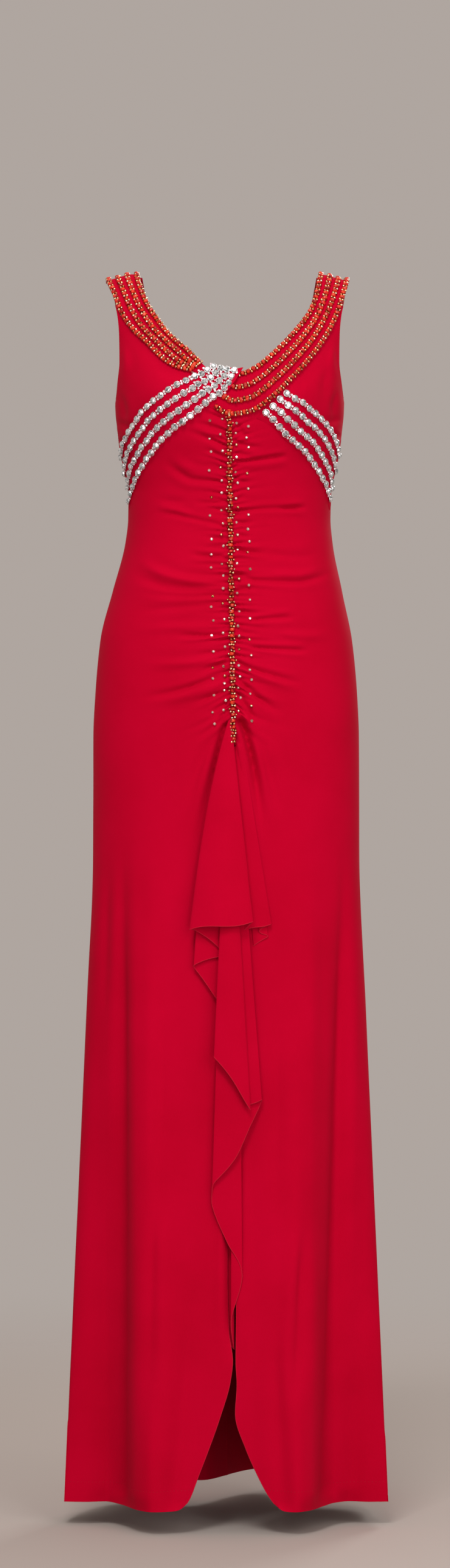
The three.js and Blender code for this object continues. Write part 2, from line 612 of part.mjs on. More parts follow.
function cup(side) {
  const edgeTable = side > 0 ? leftCupEdge : rightCupEdge;
  const edgeEnd = edgeTable[edgeTable.length - 1];
  const topZ = edgeTable[0].z;
  const sideEnd = bandEndHeight + seamGap;
  const armhole = (v) => {
    const z = topZ + (sideEnd - topZ) * v;
    if (z <= underarmHeight) return [side * 90, z];
    return [frontAngle(section('shift', z) + side * curve(frontArmhole, 'z', 'half', z), z), z];
  };
  const strapSide = (v) => {
    const at = v * (edgeTable.length - 1);
    const rows = edgeTable.map((row, k) => ({ k, ...row }));
    const x = curve(rows, 'k', 'x', at);
    const z = curve(rows, 'k', 'z', at);
    return [frontAngle(x, z), z];
  };
  const top = (u) => {
    const from = armhole(0);
    const to = strapSide(0);
    return from.map((value, k) => value * (1 - u) + to[k] * u);
  };
  const bottom = (u) => {
    const last = frontAngle(edgeEnd.x, edgeEnd.z);
    const around = side * 90 + (last - side * 90) * u;
    let z = bandEndHeight;
    for (let k = 0; k < 12; k += 1) {
      const x = section('shift', z) + section('side', z) * Math.sin(around * toRadians);
      z = (z + Math.max(curve(bustSeam, 'x', 'z', x), bandEndHeight)) / 2;
    }
    if (u === 0) z = bandEndHeight;
    return [around, u === 1 ? edgeEnd.z : z + seamGap + 1.5 * Math.min(u * 12, 1)];
  };
  const across = [0, 0.07, 0.16, 0.27, 0.42, 0.58, 0.74, 0.88, 1];
  const down = [0, 0.08, 0.16, 0.25, 0.34, 0.43, 0.5, 0.56, 0.66, 0.78, 0.9, 1];
  const columns = across.map((u) => down.map((v, row) => {
    const [around, z] = spanned(armhole, strapSide, top, bottom, u, v);
    const slide = u === 0 && z <= underarmHeight + 1 ? (-side * seamGap) / 2 : 0;
    return panelVertex(around, z, row, 0, slide);
  }));
  return wall(columns, (c) => c % 2 === 0, (key) => key % 2 === 0);
}

// ---------- straps and rhinestone bands ----------
const onFront = (x, z) => form(frontAngle(x, z), z);

// Across a strap the height follows the slope of the shoulder ridge.
function strapPoint(first, last, share, behind) {
  const x = first.x + (last.x - first.x) * share;
  const firstDrop = ridge(first.x) - first.z;
  const lastDrop = ridge(last.x) - last.z;
  const z = ridge(x) - Math.max(firstDrop + (lastDrop - firstDrop) * share, 0);
  return behind ? new THREE.Vector3(x, shoulderDepth(x, z), z) : onFront(x, z);
}

// The bands run round the form and end just before the side seam.
function bandPoint(first, last, share) {
  const start = frontAngle(first.x, first.z);
  const around = start + (frontAngle(last.x, last.z) - start) * share;
  const z = first.z + (last.z - first.z) * share;
  return form(Math.sign(around) * Math.min(Math.abs(around), bandReach), z);
}

// Base grid between two edges of a table; steps is the number of columns across.
function bandGrid(table, from, to, rows, steps, place) {
  const numbered = table.map((row, k) => ({ k, ...row }));
  const grid = [];
  for (let c = 0; c <= steps; c += 1) {
    const line = [];
    for (let r = 0; r <= rows; r += 1) {
      const at = (r / rows) * (table.length - 1);
      const end = (edge) => ({
        x: curve(numbered, 'k', `${edge}X`, at),
        z: curve(numbered, 'k', `${edge}Z`, at),
      });
      const behind = Boolean(table[Math.floor(at)].behind);
      line.push(place(end(from), end(to), c / steps, behind));
    }
    grid.push(line);
  }
  return grid;
}

const beadRows = 4;

function strap(table) {
  const rows = (table.length - 1) * 2;
  const grid = bandGrid(table, 'inner', 'outer', rows, beadRows * 2, strapPoint);
  // No panel lies under the strap at the shoulder, so there it sinks to the level of the back.
  const lift = (r) => (panelCloth + bandClearance) * smoothstep(8, 12, r) - panelCloth;
  const raised = grid.map((line, c) => line.map((point, r) => {
    const beside = grid[Math.min(c + 1, grid.length - 1)][r].clone().sub(grid[Math.max(c - 1, 0)][r]);
    const along = line[Math.min(r + 1, rows)].clone().sub(line[Math.max(r - 1, 0)]);
    const normal = along.cross(beside).normalize();
    if (normal.dot(new THREE.Vector3(0, -1, 1.5)) < 0) normal.negate();
    return point.clone().addScaledVector(normal, lift(r));
  }));
  const ordered = table[0].innerX > 0 ? raised : raised.reverse();
  return sheetWall(ordered, {
    under: 0,
    over: bandCloth,
    relief: (c) => (c % 2 === 1 ? beadRidge : 0),
    keepColumn: (c) => c % 2 === 0,
  });
}

function rhinestoneBand(table, length) {
  const stones = Math.round(length / stonePitch);
  const grid = bandGrid(table, 'upper', 'lower', stones * 2, 8, bandPoint);
  const ordered = table[0].upperX > 0 ? grid.reverse() : grid;
  return sheetWall(ordered, {
    under: bandClearance,
    over: bandClearance + bandCloth,
    relief: (c, r) => (c % 2 === 1 && r % 2 === 1 ? stoneHeight : 0),
    keepColumn: (c) => c % 2 === 0,
    keepRow: (key) => key % 2 === 0,
  });
}

// ---------- cascade ----------
// A sheet lofted through fold lines; two lines close together make the rounded turn of a fold.
function cascade(table, rows) {
  const numbered = table.map((row, k) => ({ k, ...row }));
  const lines = [];
  for (let at = 0; at <= table.length - 1; at += 0.5) {
    const value = (column) => curve(numbered, 'k', column, at);
    const line = [];
    for (let r = 0; r <= rows; r += 1) {
      const t = r / rows;
      const x = value('topX') + (value('footX') - value('topX')) * t;
      const z = value('topZ') + (value('footZ') - value('topZ')) * t;
      const out = value('topOut') + (value('footOut') - value('topOut')) * t;
      const point = onFront(x, z);
      point.y -= out;
      line.push(point);
    }
    lines.push(line);
  }
  return sheetWall(lines, { under: -flounceCloth / 2, over: flounceCloth / 2 });
}

// ---------- materials and the object ----------
const crepe = new THREE.MeshStandardMaterial({ name: 'crepe', color: 0xbe0227, roughness: 0.82, metalness: 0 });
const beaded = new THREE.MeshStandardMaterial({ name: 'beaded', color: 0xb5281c, roughness: 0.4, metalness: 0.2 });
const stones = new THREE.MeshStandardMaterial({ name: 'stones', color: 0xd9d2cf, roughness: 0.2, metalness: 0.5 });

const gown = new THREE.Group();

function add(name, geometry, material) {
  const mesh = new THREE.Mesh(geometry, material);
  mesh.name = name;
  gown.add(mesh);
}

add('front_left', frontPanel(1), crepe);
add('front_right', frontPanel(-1), crepe);
add('back_left', backPanel(1), crepe);
add('back_right', backPanel(-1), crepe);
add('cup_left', cup(1), crepe);
add('cup_right', cup(-1), crepe);
add('strap_left', strap(leftStrap), beaded);
add('strap_right', strap(rightStrap), beaded);
add('band_left', rhinestoneBand(leftBand, 200), stones);
add('band_right', rhinestoneBand(rightBand, 230), stones);
add('cascade_tongue', cascade(tongueFolds, 12), crepe);
add('cascade_fall', cascade(fallFolds, 16), crepe);

export default gown;
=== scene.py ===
# The visible evening gown: thin red crepe shells on the forms of the frame, with creases, gathers,
# beads, rhinestones and sewing. Lengths are millimetres until a mesh is made; front is -Y, up is +Z,
# and the wearer's left is +X.
import math

import bpy
import numpy as np
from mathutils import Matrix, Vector


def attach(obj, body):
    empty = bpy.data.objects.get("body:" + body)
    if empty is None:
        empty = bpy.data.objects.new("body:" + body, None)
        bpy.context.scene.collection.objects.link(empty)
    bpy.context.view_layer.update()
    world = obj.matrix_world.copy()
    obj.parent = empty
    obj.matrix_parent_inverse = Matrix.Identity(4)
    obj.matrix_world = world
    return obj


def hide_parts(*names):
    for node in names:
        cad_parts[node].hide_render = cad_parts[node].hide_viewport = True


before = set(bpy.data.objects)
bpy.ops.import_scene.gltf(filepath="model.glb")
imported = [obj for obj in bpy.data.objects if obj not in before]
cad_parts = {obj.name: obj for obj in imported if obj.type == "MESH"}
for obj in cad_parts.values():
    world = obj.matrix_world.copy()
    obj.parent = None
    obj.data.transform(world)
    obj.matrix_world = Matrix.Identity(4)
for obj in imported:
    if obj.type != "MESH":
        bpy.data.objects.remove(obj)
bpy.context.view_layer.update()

# ---------- dimensions ----------
CLOTH = 0.8             # the gown's crepe
BAND_CLOTH = 0.8        # straps and stone bands
FLOUNCE_CLOTH = 0.7
SEAM_GAP = 0.3
HEM = -1548.0           # heights are negative, because the origin is at the shoulders
SKIRT_TOP = -650.0
UNDERARM = -165.0
SHOULDER_ROUND = 6.0    # the shoulder's depth grows with this times the root of the drop
BAND_END = -262.0
BAND_REACH = 85.0       # degrees round from the front at which the stone bands end
FLOOR = -1578.0
BAND_LIFT = 0.45        # straps and bands lie this far over the panels
GRAIN_WIDTH = 165.0     # about a front panel's width at the hips; the grain's distances are shares of it
GRAIN_REACH = 60.0      # distance over which the grain drops away from the centre seam
SEAM_FOOT = -640.0      # the front panels' close rows end here
SLIT_WIDENS = -1255.0   # below this the slit widens, and draws the columns of the panels back with it
SLIT_REACH = 72.0       # distance over which they are drawn back
FOLD_STEPS = 8          # places from one fold line of the cascade to the next
SIDE = {1: "left", -1: "right"}


# ---------- curves through tables ----------
class Curve:
    """Smooth curve through the rows of a table that does not overshoot, straight beyond its ends."""

    def __init__(self, at, value):
        order = np.argsort(at)
        self.x = np.asarray(at, float)[order]
        self.y = np.asarray(value, float)[order]
        grade = np.diff(self.y) / np.diff(self.x)
        before, after = grade[:-1], grade[1:]
        same = before * after > 0
        total = np.where(same, before + after, 1.0)
        inner = np.where(same, 2 * before * after / total, 0.0)
        self.slope = np.concatenate([grade[:1], inner, grade[-1:]])

    def __call__(self, at):
        at = np.asarray(at, float)
        i = np.clip(np.searchsorted(self.x, at) - 1, 0, len(self.x) - 2)
        step = self.x[i + 1] - self.x[i]
        t = (at - self.x[i]) / step
        u = np.clip(t, 0, 1)
        u2, u3 = u * u, u * u * u
        inside = ((2 * u3 - 3 * u2 + 1) * self.y[i] + (u3 - 2 * u2 + u) * step * self.slope[i]
                  + (3 * u2 - 2 * u3) * self.y[i + 1] + (u3 - u2) * step * self.slope[i + 1])
        beyond = np.where(t < 0, t * self.slope[i], np.where(t > 1, (t - 1) * self.slope[i + 1], 0)) * step
        return inside + beyond


def columns(rows):
    return [np.array(c, float) for c in zip(*rows)]


def smoothstep(low, high, value):
    t = np.clip((np.asarray(value, float) - low) / (high - low), 0, 1)
    return t * t * (3 - 2 * t)


def bell(offset, width):
    return np.exp(-(offset / width) ** 2)


def mix(first, second, share):
    return first * (1 - share) + second * share


# ---------- short tables of the gown's form ----------
# height, half width, front depth, back depth, sideways shift, squareness
SECTIONS = [
    (0, 155, 20, 24, 4, 2.6), (-30, 152, 42, 52, 4, 2.6), (-60, 149, 64, 80, 4, 2.6),
    (-93, 147, 84, 98, 4, 2.6), (-124, 146, 100, 106, 4, 2.5), (-165, 144.5, 108, 108, 4.5, 2.4),
    (-216, 140, 104, 100, 4.5, 2.3), (-247, 134, 98, 88, 4.5, 2.2), (-278, 128, 93, 78, 4.5, 2.2),
    (-308, 128, 92, 78, 4, 2.2), (-339, 131, 94, 84, 3.5, 2.2), (-401, 145, 100, 102, 1.5, 2.2),
    (-462, 159, 104, 120, 0, 2.2), (-524, 165, 105, 128, 0, 2.2), (-585, 168, 104, 126, 0, 2.2),
    (-740, 168.5, 98, 122, 0, 2.2), (-924, 176.5, 97, 136, 0, 2.1), (-1170, 187.5, 100, 164, 0, 2),
    (-1416, 198.5, 104, 195, 0, 2), (-1548, 204, 107, 214, 0, 2),
]
# place across, depth
FRONT_HEM = [
    (-204, 18), (-178, 20.5), (-152, 17), (-132, 42), (-110, 90), (-91, 107), (-60, 99), (-30, 92),
    (30, 93), (60, 100), (86, 107), (104, 93), (122, 56), (136, 28), (156, 15), (180, 20), (204, 18),
]
# place round the back, how far it stands out, breadth
BACK_FOLDS = [
    (12, 72, 10), (-11, -44, 12), (32, -22, 11), (-36, 16, 13), (54, 16, 12), (-60, -9, 11), (74, -8, 9),
]
CUPS = dict(apart=72, height=-172, breadth=42, rise=46, out=10)
FRONT_ARMHOLE = [(-8, 153), (-30, 147), (-55, 141), (-80, 139), (-115, 138.5), (-140, 141.4), (-155, 143.3),
                 (-165, 144.5)]
BACK_ARMHOLE = [(0, 151), (-30, 146), (-60, 141), (-100, 138), (-130, 140), (-150, 142.6), (-160, 144),
                (-165, 144.5)]
BACK_NECKLINE = [(0, -152), (40, -146), (72, -122), (92, -84), (104, -40), (110, -3.2)]
# neckline edge x and z, outer edge x and z, from the shoulder seam down; the first rows lie behind the ridge
RIGHT_STRAP = [
    (-110, -2.6, -152, -9.5), (-110, -0.8, -152, -7.8), (-110, 0, -152, -7), (-110, -1.4, -151.5, -9),
    (-109, -8, -149, -15), (-104, -24, -143, -29), (-95, -45, -137.5, -45), (-84, -62, -129, -61),
    (-73, -78, -115, -79), (-60, -92, -101, -93), (-46, -104, -83, -113), (-36, -115, -66, -125),
    (-25.5, -126, -40, -132.5),
]
LEFT_STRAP = [
    (117, -2.6, 155, -9.6), (117, -0.8, 155, -7.8), (117, 0, 155, -7), (117, -1.4, 155, -9.5),
    (115.5, -8, 153, -17), (113.5, -20, 149.5, -29), (110, -34, 144.5, -45), (103, -52, 137, -63),
    (92, -68, 127, -83), (78, -85, 113, -105), (60, -104, 97, -126), (47, -116, 81, -144.5),
    (36, -124, 58.5, -167), (26, -129, 31, -185), (20, -131.5, 4, -189), (16, -132.5, -17.5, -178),
]
# upper edge x and z, lower edge x and z, from the centre to the side seam
RIGHT_BAND = [
    (-18, -125.5, 21, -129), (-28, -130, 5, -153), (-44, -137, -19, -171), (-64, -145, -43, -192),
    (-86, -159, -60, -204.5), (-104, -173, -75, -218), (-117, -191, -89, -234), (-126, -205, -101, -251),
    (-130.4, -215, -112, -271), (-131.9, -222.5, -119, -288), (-132.3, -229, -122, -299),
]
LEFT_BAND = [
    (82, -150, 38, -190), (98, -166, 58, -201), (115, -180, 74, -217), (128, -192, 91, -231),
    (136, -205, 104, -247), (139.9, -216, 115, -263), (141.2, -223.5, 125, -281), (141.4, -230, 130.5, -299),
]
BUST_SEAM = [
    (-126, -262), (-118, -240), (-109, -222), (-96, -205), (-82, -190), (-64, -177), (-44, -164), (-21, -153),
    (4, -155), (30, -159), (60, -173), (79, -185), (95, -199), (110, -213), (122, -228), (130, -245),
    (135.5, -262),
]
RIGHT_CUP_EDGE = [
    (-134.5, -43), (-125, -61), (-111, -78), (-97, -91.5), (-79, -110.5), (-62, -122), (-40, -134),
]
LEFT_CUP_EDGE = [(140.5, -44), (132.5, -62), (123, -81), (109, -102), (93, -123), (78, -143), (57, -167)]
# height, right panel's edge, gap to the left panel
CENTRE_EDGES = [
    (-120, 3.65, 0.3), (-184, 3.75, 0.3), (-590, 8.35, 0.3), (-614, 8.4, 1), (-700, 6, 8), (-820, 4.5, 13.5),
    (-1095, 3.5, 12), (-1200, 1.8, 11), (-1255, 1.6, 11), (-1325, 3.4, 8.8), (-1362, 8, 4), (-1388, 5, 8.4),
    (-1430, -7, 18.5), (-1470, -21, 45), (-1510, -36.5, 78.5), (-1534, -46, 102), (-1548, -56, 123),
]
# height, drop of the grain per millimetre outwards
GRAIN = [
    (-150, 0.45), (-200, 0.45), (-300, 0.15), (-380, 0), (-450, -0.1), (-500, -0.38), (-540, -0.8),
    (-585, -1.45), (-620, -1.55), (-700, -1.2), (-900, -0.5), (-1200, 0), (-1250, 0),
]
# fold lines of the cascade: top x, z and distance out, foot x, z and distance out
TONGUE = [
    (-2, -745, 6, -5, -919, 7),
    (-9, -745, 6.5, -16, -905, 7.5), (-19, -745, 6, -40.5, -871, 6.5), (-18.6, -745, 9, -40, -869, 10),
    (-4, -705, 7.6, -5, -857, 10.5), (-3.5, -685, 10.5, -6, -851, 13), (3.2, -572, 3.2, -44.5, -823, 15),
    (2.6, -567, 6.4, -45.6, -824.5, 19), (5, -564, 7.6, -8, -820, 29), (8.2, -584, 6.6, 33, -814.5, 22),
    (8.0, -592, 2.4, 31, -816, 15.5), (5.5, -600, -1.5, 20, -827, 10), (14.5, -596, 2.2, 36, -822, 8),
    (20, -594, 2.6, 56, -818, 4.6), (17, -600, 1.9, 41, -827, 3.4), (19, -606, 1.4, 52, -833, 2.3),
    (15, -616, 1.0, 34, -845, 1.4),
]
FALL = [
    (-3, -900, -12, -3, -1330, -13),
    (9.5, -662, -6, 10, -1348, -5), (9.8, -660, 2.4, 6, -1313, 2.4), (15, -665, 4.6, 19.8, -1255, 4),
    (7, -670, 6, 1, -1213, 5.5), (-1, -675, 6.4, -18, -1163, 5.5), (-2, -675, 9.6, -17.2, -1144, 9.5),
    (7, -685, 10.6, 14, -1104, 12), (15, -700, 8, 31, -1066, 9.5), (21, -742, 6.5, 43, -1040, 6.5),
    (21.5, -742, 9.5, 44, -1036, 10.5), (10.5, -790, 13.6, 26, -1043, 14), (15.5, -798, 18, 30, -1048, 18),
    (5, -798, 21.5, 10, -1014, 22), (-6.5, -798, 19.5, -15, -982, 19.5), (-5, -798, 16, -14, -978, 16),
    (3, -798, 15, 4, -950, 15.5),
]

# ---------- creases --------------------------
# Each: depth (negative is a raised fold), half width, the percentages of its length over which it starts and
# dies out, then x and z of each point from its start.
RIGHT_CREASES = [
    (1.3, 2.6, 2, 70, -1, -186, -16, -176, -34, -170),
    (1.6, 2.4, 2, 70, 0, -194, -14, -187, -32, -179),
    (-1.3, 3.6, 5, 70, -1, -211, -22, -208, -50, -200),
    (1.5, 2.8, 2, 70, -2, -224, -36, -209, -62, -201),
    (1.7, 2.2, 2, 60, -2, -239, -14, -233, -28, -226),
    (1.0, 2.2, 2, 60, -2, -252, -16, -246, -30, -243),
    (1.9, 3.4, 5, 50, -3, -268, -42, -265, -62, -254, -80, -238),
    (-1.0, 5, 40, 50, -30, -256, -55, -246, -70, -231),
    (1.5, 2.4, 2, 60, -3, -294, -24, -294, -48, -291),
    (0.8, 4, 40, 50, -40, -292, -70, -291, -95, -285),
    (1.6, 2.6, 2, 40, -5, -321, -36, -315, -62, -308, -92, -302),
    (-1.2, 4, 30, 40, -38, -311, -66, -303, -90, -297),
    (1.4, 2.2, 2, 60, -3, -341, -16, -338, -27, -339),
    (2.2, 2.6, 2, 60, -3, -360, -24, -360, -52, -356),
    (-2.0, 4.6, 30, 40, -5, -395, -40, -392, -72, -385, -96, -374, -114, -361),
    (1.2, 5, 30, 40, -20, -402, -70, -399, -100, -390, -122, -376),
    (1.0, 3.4, 2, 50, -3, -408, -40, -411, -80, -409, -123, -399),
    (0.9, 4.2, 2, 50, -3, -421, -50, -423, -123, -430),
    (-0.9, 4.6, 10, 50, -3, -447, -60, -449, -123, -452),
    (2.2, 2.5, 2, 45, -3, -459, -28, -460, -66, -459),
    (1.1, 2.6, 2, 60, 1, -477, -20, -481, -44, -484),
    (-1.3, 4.2, 10, 50, 0, -489, -45, -494, -110, -496),
    (1.9, 2.5, 2, 60, 1, -492, -16, -498, -38, -508),
    (1.8, 3.2, 2, 45, 3, -507, -18, -513, -60, -528, -112, -538),
    (-1.2, 5, 20, 50, 0, -519, -40, -533, -96, -548),
    (1.4, 2.6, 2, 60, 3, -525, -20, -535, -46, -547),
    (1.9, 2.8, 2, 60, 4, -541, -10, -551, -26, -563),
    (1.3, 3.2, 2, 60, 4, -552, -14, -570, -40, -592),
    (5.4, 5.6, 2, 75, 1, -566, -6, -588, -17, -636, -29, -690, -38, -742),
    (1.4, 6, 5, 60, -2, -562, -18, -590, -40, -640, -52, -690),
]
LEFT_CREASES = [
    (1.1, 2.4, 2, 70, 6, -184, 18, -186, 34, -184),
    (1.5, 2.4, 2, 60, 9, -193, 17, -203, 25, -215),
    (0.9, 2.4, 2, 60, 9, -206, 22, -210, 40, -208),
    (1.5, 2.5, 2, 60, 9, -217, 26, -224, 49, -226),
    (1.0, 2.2, 2, 60, 8, -232, 22, -235, 40, -238),
    (2.3, 2.2, 2, 25, 12, -244, 44, -240, 80, -235),
    (-0.9, 4, 20, 40, 20, -251, 50, -248, 84, -242),
    (1.1, 2.4, 2, 60, 9, -262, 22, -268, 36, -270),
    (1.4, 2.2, 2, 60, 9, -291, 17, -287, 28, -284),
    (1.3, 2.6, 2, 20, 9, -304, 48, -301, 72, -300, 103, -298),
    (1.5, 2.4, 40, 40, 60, -301, 82, -299.5, 104, -298.5),
    (1.6, 2.3, 2, 60, 12, -318, 22, -319, 38, -317),
    (1.1, 2.3, 2, 60, 9, -332, 18, -334, 30, -339),
    (2.3, 2.5, 2, 50, 9, -350, 24, -355, 54, -357),
    (0.9, 5, 30, 40, 40, -356, 90, -360, 124, -352),
    (1.8, 3.2, 5, 35, 9, -382, 41, -391, 84, -392, 112, -387, 136, -374),
    (-1.0, 5, 30, 40, 50, -382, 90, -383, 124, -372),
    (1.0, 2.4, 2, 60, 9, -404, 22, -402, 38, -398),
    (1.0, 2.6, 2, 60, 9, -428, 24, -430, 46, -434),
    (1.8, 2.6, 20, 30, 26, -441, 56, -438, 88, -436),
    (1.2, 2.6, 2, 60, 9, -449, 22, -455, 44, -457),
    (-1.0, 4.6, 30, 40, 60, -456, 100, -460, 132, -458),
    (2.0, 2.5, 20, 25, 23, -474, 60, -476, 106, -478),
    (1.9, 3, 2, 40, 11, -489, 24, -498, 60, -510, 100, -520),
    (-1.2, 4.6, 20, 50, 12, -497, 50, -513, 98, -530),
    (2.4, 3.2, 2, 50, 14, -511, 26, -524, 44, -540, 74, -559),
    (2.2, 3, 2, 50, 14, -530, 24, -547, 38, -570),
    (1.4, 3.6, 2, 60, 14, -550, 26, -575, 50, -606),
    (7.0, 4.6, 2, 80, 14, -562, 23, -579, 33, -616, 42, -674, 47, -720),
    (4.4, 3.2, 5, 50, 8, -592, 11, -620, 15, -668),
    (1.4, 6, 5, 60, 16, -560, 34, -588, 54, -636, 64, -690),
]
# Long soft falls of the skirt front.
SKIRT_CREASES = [
    (5.4, 8, 35, 2, -129, -700, -131, -900, -132, -1200, -134, -1546),
    (1.4, 6, 40, 50, -148, -735, -150, -850, -152, -970),
    (-1.6, 14, 40, 40, -104, -760, -100, -1000, -96, -1300),
    (1.2, 16, 40, 50, -62, -700, -66, -900, -70, -1150),
    (5.4, 8, 35, 2, 148, -700, 144, -950, 138, -1200, 127, -1546),
    (3.4, 7, 30, 40, 97, -1190, 92, -1300, 84, -1460),
    (2.4, 7, 30, 40, -92, -1150, -94, -1300, -98, -1480),
    (-1.6, 14, 40, 40, 110, -760, 108, -1000, 106, -1250),
    (1.2, 16, 40, 50, 66, -720, 70, -900, 72, -1150),
    (2.0, 9, 50, 2, -44, -1250, -52, -1400, -66, -1546),
    (2.0, 9, 50, 2, 60, -1300, 64, -1420, 72, -1546),
    (1.6, 9, 40, 50, -78, -860, -84, -1080, -88, -1330),
    (1.4, 9, 40, 50, 58, -880, 62, -1060, 62, -1240),
    (5.5, 4.6, 30, 30, 3.5, -1060, 3.5, -1200, 4.5, -1300, 8, -1372),
    (2.6, 4, 30, 40, 17, -1060, 16, -1200, 14.5, -1330),
]
# The back: drag lines from the side seams and over the waist, and soft falls below.
BACK_CREASES = [
    (1.6, 3, 30, 50, -118, -300, -84, -306, -52, -304),
    (1.3, 3.4, 30, 50, -124, -330, -90, -338, -44, -336),
    (1.2, 3, 20, 60, -128, -274, -96, -276, -70, -284),
    (1.4, 3.6, 20, 60, -132, -232, -104, -246, -82, -266),
    (-1.1, 4.4, 30, 50, -122, -318, -70, -322, -30, -318),
    (1.0, 4.4, 30, 50, -138, -380, -104, -392, -64, -396),
    (1.6, 3, 30, 50, 122, -296, 92, -300, 58, -297),
    (1.5, 3.4, 30, 50, 126, -322, 88, -330, 34, -328),
    (1.0, 3, 20, 60, 132, -268, 102, -272, 80, -282),
    (1.5, 3.6, 20, 60, 137, -226, 112, -240, 92, -262),
    (-1.1, 4.4, 30, 50, 126, -310, 80, -314, 30, -310),
    (1.1, 4.4, 30, 50, 144, -388, 104, -398, 70, -396),
    (0.9, 3, 40, 20, -26, -296, -14, -304, -4, -306),
    (0.9, 3, 40, 20, 30, -290, 18, -298, 5, -300),
    (1.6, 9, 40, 50, -100, -640, -108, -900, -116, -1200),
    (1.6, 9, 40, 50, 96, -660, 104, -940, 112, -1240),
    (1.2, 10, 40, 50, -60, -560, -58, -760, -60, -980),
    (1.2, 10, 40, 50, 52, -580, 54, -800, 58, -1000),
    (1.8, 12, 40, 50, 4, -470, 24, -560, 34, -700, 38, -900),
    (1.6, 12, 40, 50, -6, -480, -30, -600, -38, -760, -36, -960),
    (1.2, 6, 30, 60, -128, -420, -96, -450, -60, -468),
    (1.3, 6, 30, 60, 130, -430, 98, -456, 56, -470),
]
# Cups: soft pulls along the armholes, over the bust and towards the side seams.
CUP_CREASES = [
    (1.2, 4, 40, 50, -134, -150, -128, -176, -130, -205),
    (1.0, 3.6, 20, 60, -138, -188, -122, -196, -106, -190),
    (-0.9, 4.6, 40, 50, -128, -92, -126, -118, -131, -146),
    (1.2, 3, 20, 60, -137, -212, -127, -214, -118, -206),
    (0.6, 4, 40, 50, -92, -122, -78, -130, -62, -138),
    (1.3, 4, 40, 50, 140, -146, 135, -172, 138, -202),
    (1.0, 3.6, 20, 60, 144, -184, 130, -190, 112, -184),
    (-0.9, 4.6, 40, 50, 133, -88, 132, -114, 137, -142),
    (1.3, 3, 20, 60, 146, -206, 137, -207, 128, -198),
    (0.8, 5, 40, 50, 128, -120, 122, -150, 126, -176),
    (0.6, 4, 40, 50, 98, -136, 92, -150, 92, -162),
]

# ---------- the form ----------
_z, _side, _front, _back, _shift, _square = columns(SECTIONS)
side_at, front_at, back_at = Curve(_z, _side), Curve(_z, _front), Curve(_z, _back)
shift_at, square_at = Curve(_z, _shift), Curve(_z, _square)
hem_plan = Curve(*columns(FRONT_HEM))
bust_seam = Curve(*columns(BUST_SEAM))
front_armhole, back_armhole = Curve(*columns(FRONT_ARMHOLE)), Curve(*columns(BACK_ARMHOLE))
back_neckline = Curve(*columns(BACK_NECKLINE))
_cz, _cr, _cg = columns(CENTRE_EDGES)
right_edge_at, gap_at = Curve(_cz, _cr), Curve(_cz, _cg)
grain_at = Curve(*columns(GRAIN))


def sin_d(angle):
    return np.sin(np.radians(angle))


def cos_d(angle):
    return np.cos(np.radians(angle))


def ridge(x):
    return -7 * smoothstep(118, 152, np.abs(x))


def shoulder_depth(x, z):
    return SHOULDER_ROUND * np.sqrt(np.maximum(ridge(x) - z, 0))


def round_off(depth, x, z):
    """A depth of the form, turned into the rounded shoulder near the shoulder seam."""
    return mix(shoulder_depth(x, z), depth, smoothstep(35, 95, -z))


def skirt_share(z):
    """0 at the top of the skirt and 1 at the hem."""
    return np.clip((SKIRT_TOP - z) / (SKIRT_TOP - HEM), 0, 1) ** 1.2


def front_point(angle, z):
    side, square, shift = side_at(z), square_at(z), shift_at(z)
    across = sin_d(angle)
    x = shift + side * across
    depth = front_at(z) * np.maximum(1 - np.minimum(np.abs(across), 1) ** square, 0) ** (1 / square)
    cup_x = (np.abs(x - shift) - CUPS["apart"]) / CUPS["breadth"]
    cup_z = (z - CUPS["height"]) / CUPS["rise"]
    depth = depth + CUPS["out"] * np.exp(-cup_x ** 2 - cup_z ** 2) * (1 - np.abs(across) ** 6)
    depth = mix(round_off(depth, x, z), hem_plan(x), skirt_share(z))
    return np.stack([x, -depth, z + 0 * x], -1)


def back_point(angle, z):
    side, square = side_at(z), square_at(z)
    seam = 18 * skirt_share(z)
    across, inward = sin_d(angle), np.maximum(cos_d(angle), 0)
    depth = (back_at(z) + seam) * inward ** (2 / square) - seam
    x = shift_at(z) + side * across
    depth = round_off(depth, x, z)
    out = sum(o * bell(angle - a, b) for a, o, b in BACK_FOLDS) * skirt_share(z) ** 1.15
    return np.stack([x + out * across, depth + out * inward, z + 0 * x], -1)


def form(around, z):
    """The gown's surface; around is in degrees from the front, towards the wearer's left."""
    around, z = np.broadcast_arrays(np.asarray(around, float), np.asarray(z, float))
    turn = (around + 180) % 360 - 180
    front = front_point(np.clip(turn, -90, 90), z)
    behind = back_point(np.where(turn > 0, 180 - turn, -180 - turn), z)
    return np.where((np.abs(turn) <= 90)[..., None], front, behind)


def unit(v):
    return v / np.maximum(np.linalg.norm(v, axis=-1, keepdims=True), 1e-12)


def form_frame(around, z):
    """Place on the form, direction round it, and direction out of it."""
    here = form(around, z)
    tangent = unit(unit(form(around + 1, z) - here) + unit(here - form(around - 1, z)))
    up = form(around, z + 2) - form(around, z - 2)
    return here, tangent, unit(np.cross(tangent, up))


def front_angle(x, z):
    return np.degrees(np.arcsin(np.clip((x - shift_at(z)) / side_at(z), -1, 1)))


# ---------- relief ----------
def smooth_path(points):
    p = np.reshape(points, (-1, 2)).astype(float)
    length = np.concatenate([[0], np.cumsum(np.linalg.norm(np.diff(p, axis=0), axis=1))])
    at = np.linspace(0, length[-1], 26)
    return np.stack([Curve(length, p[:, 0])(at), Curve(length, p[:, 1])(at)], 1)


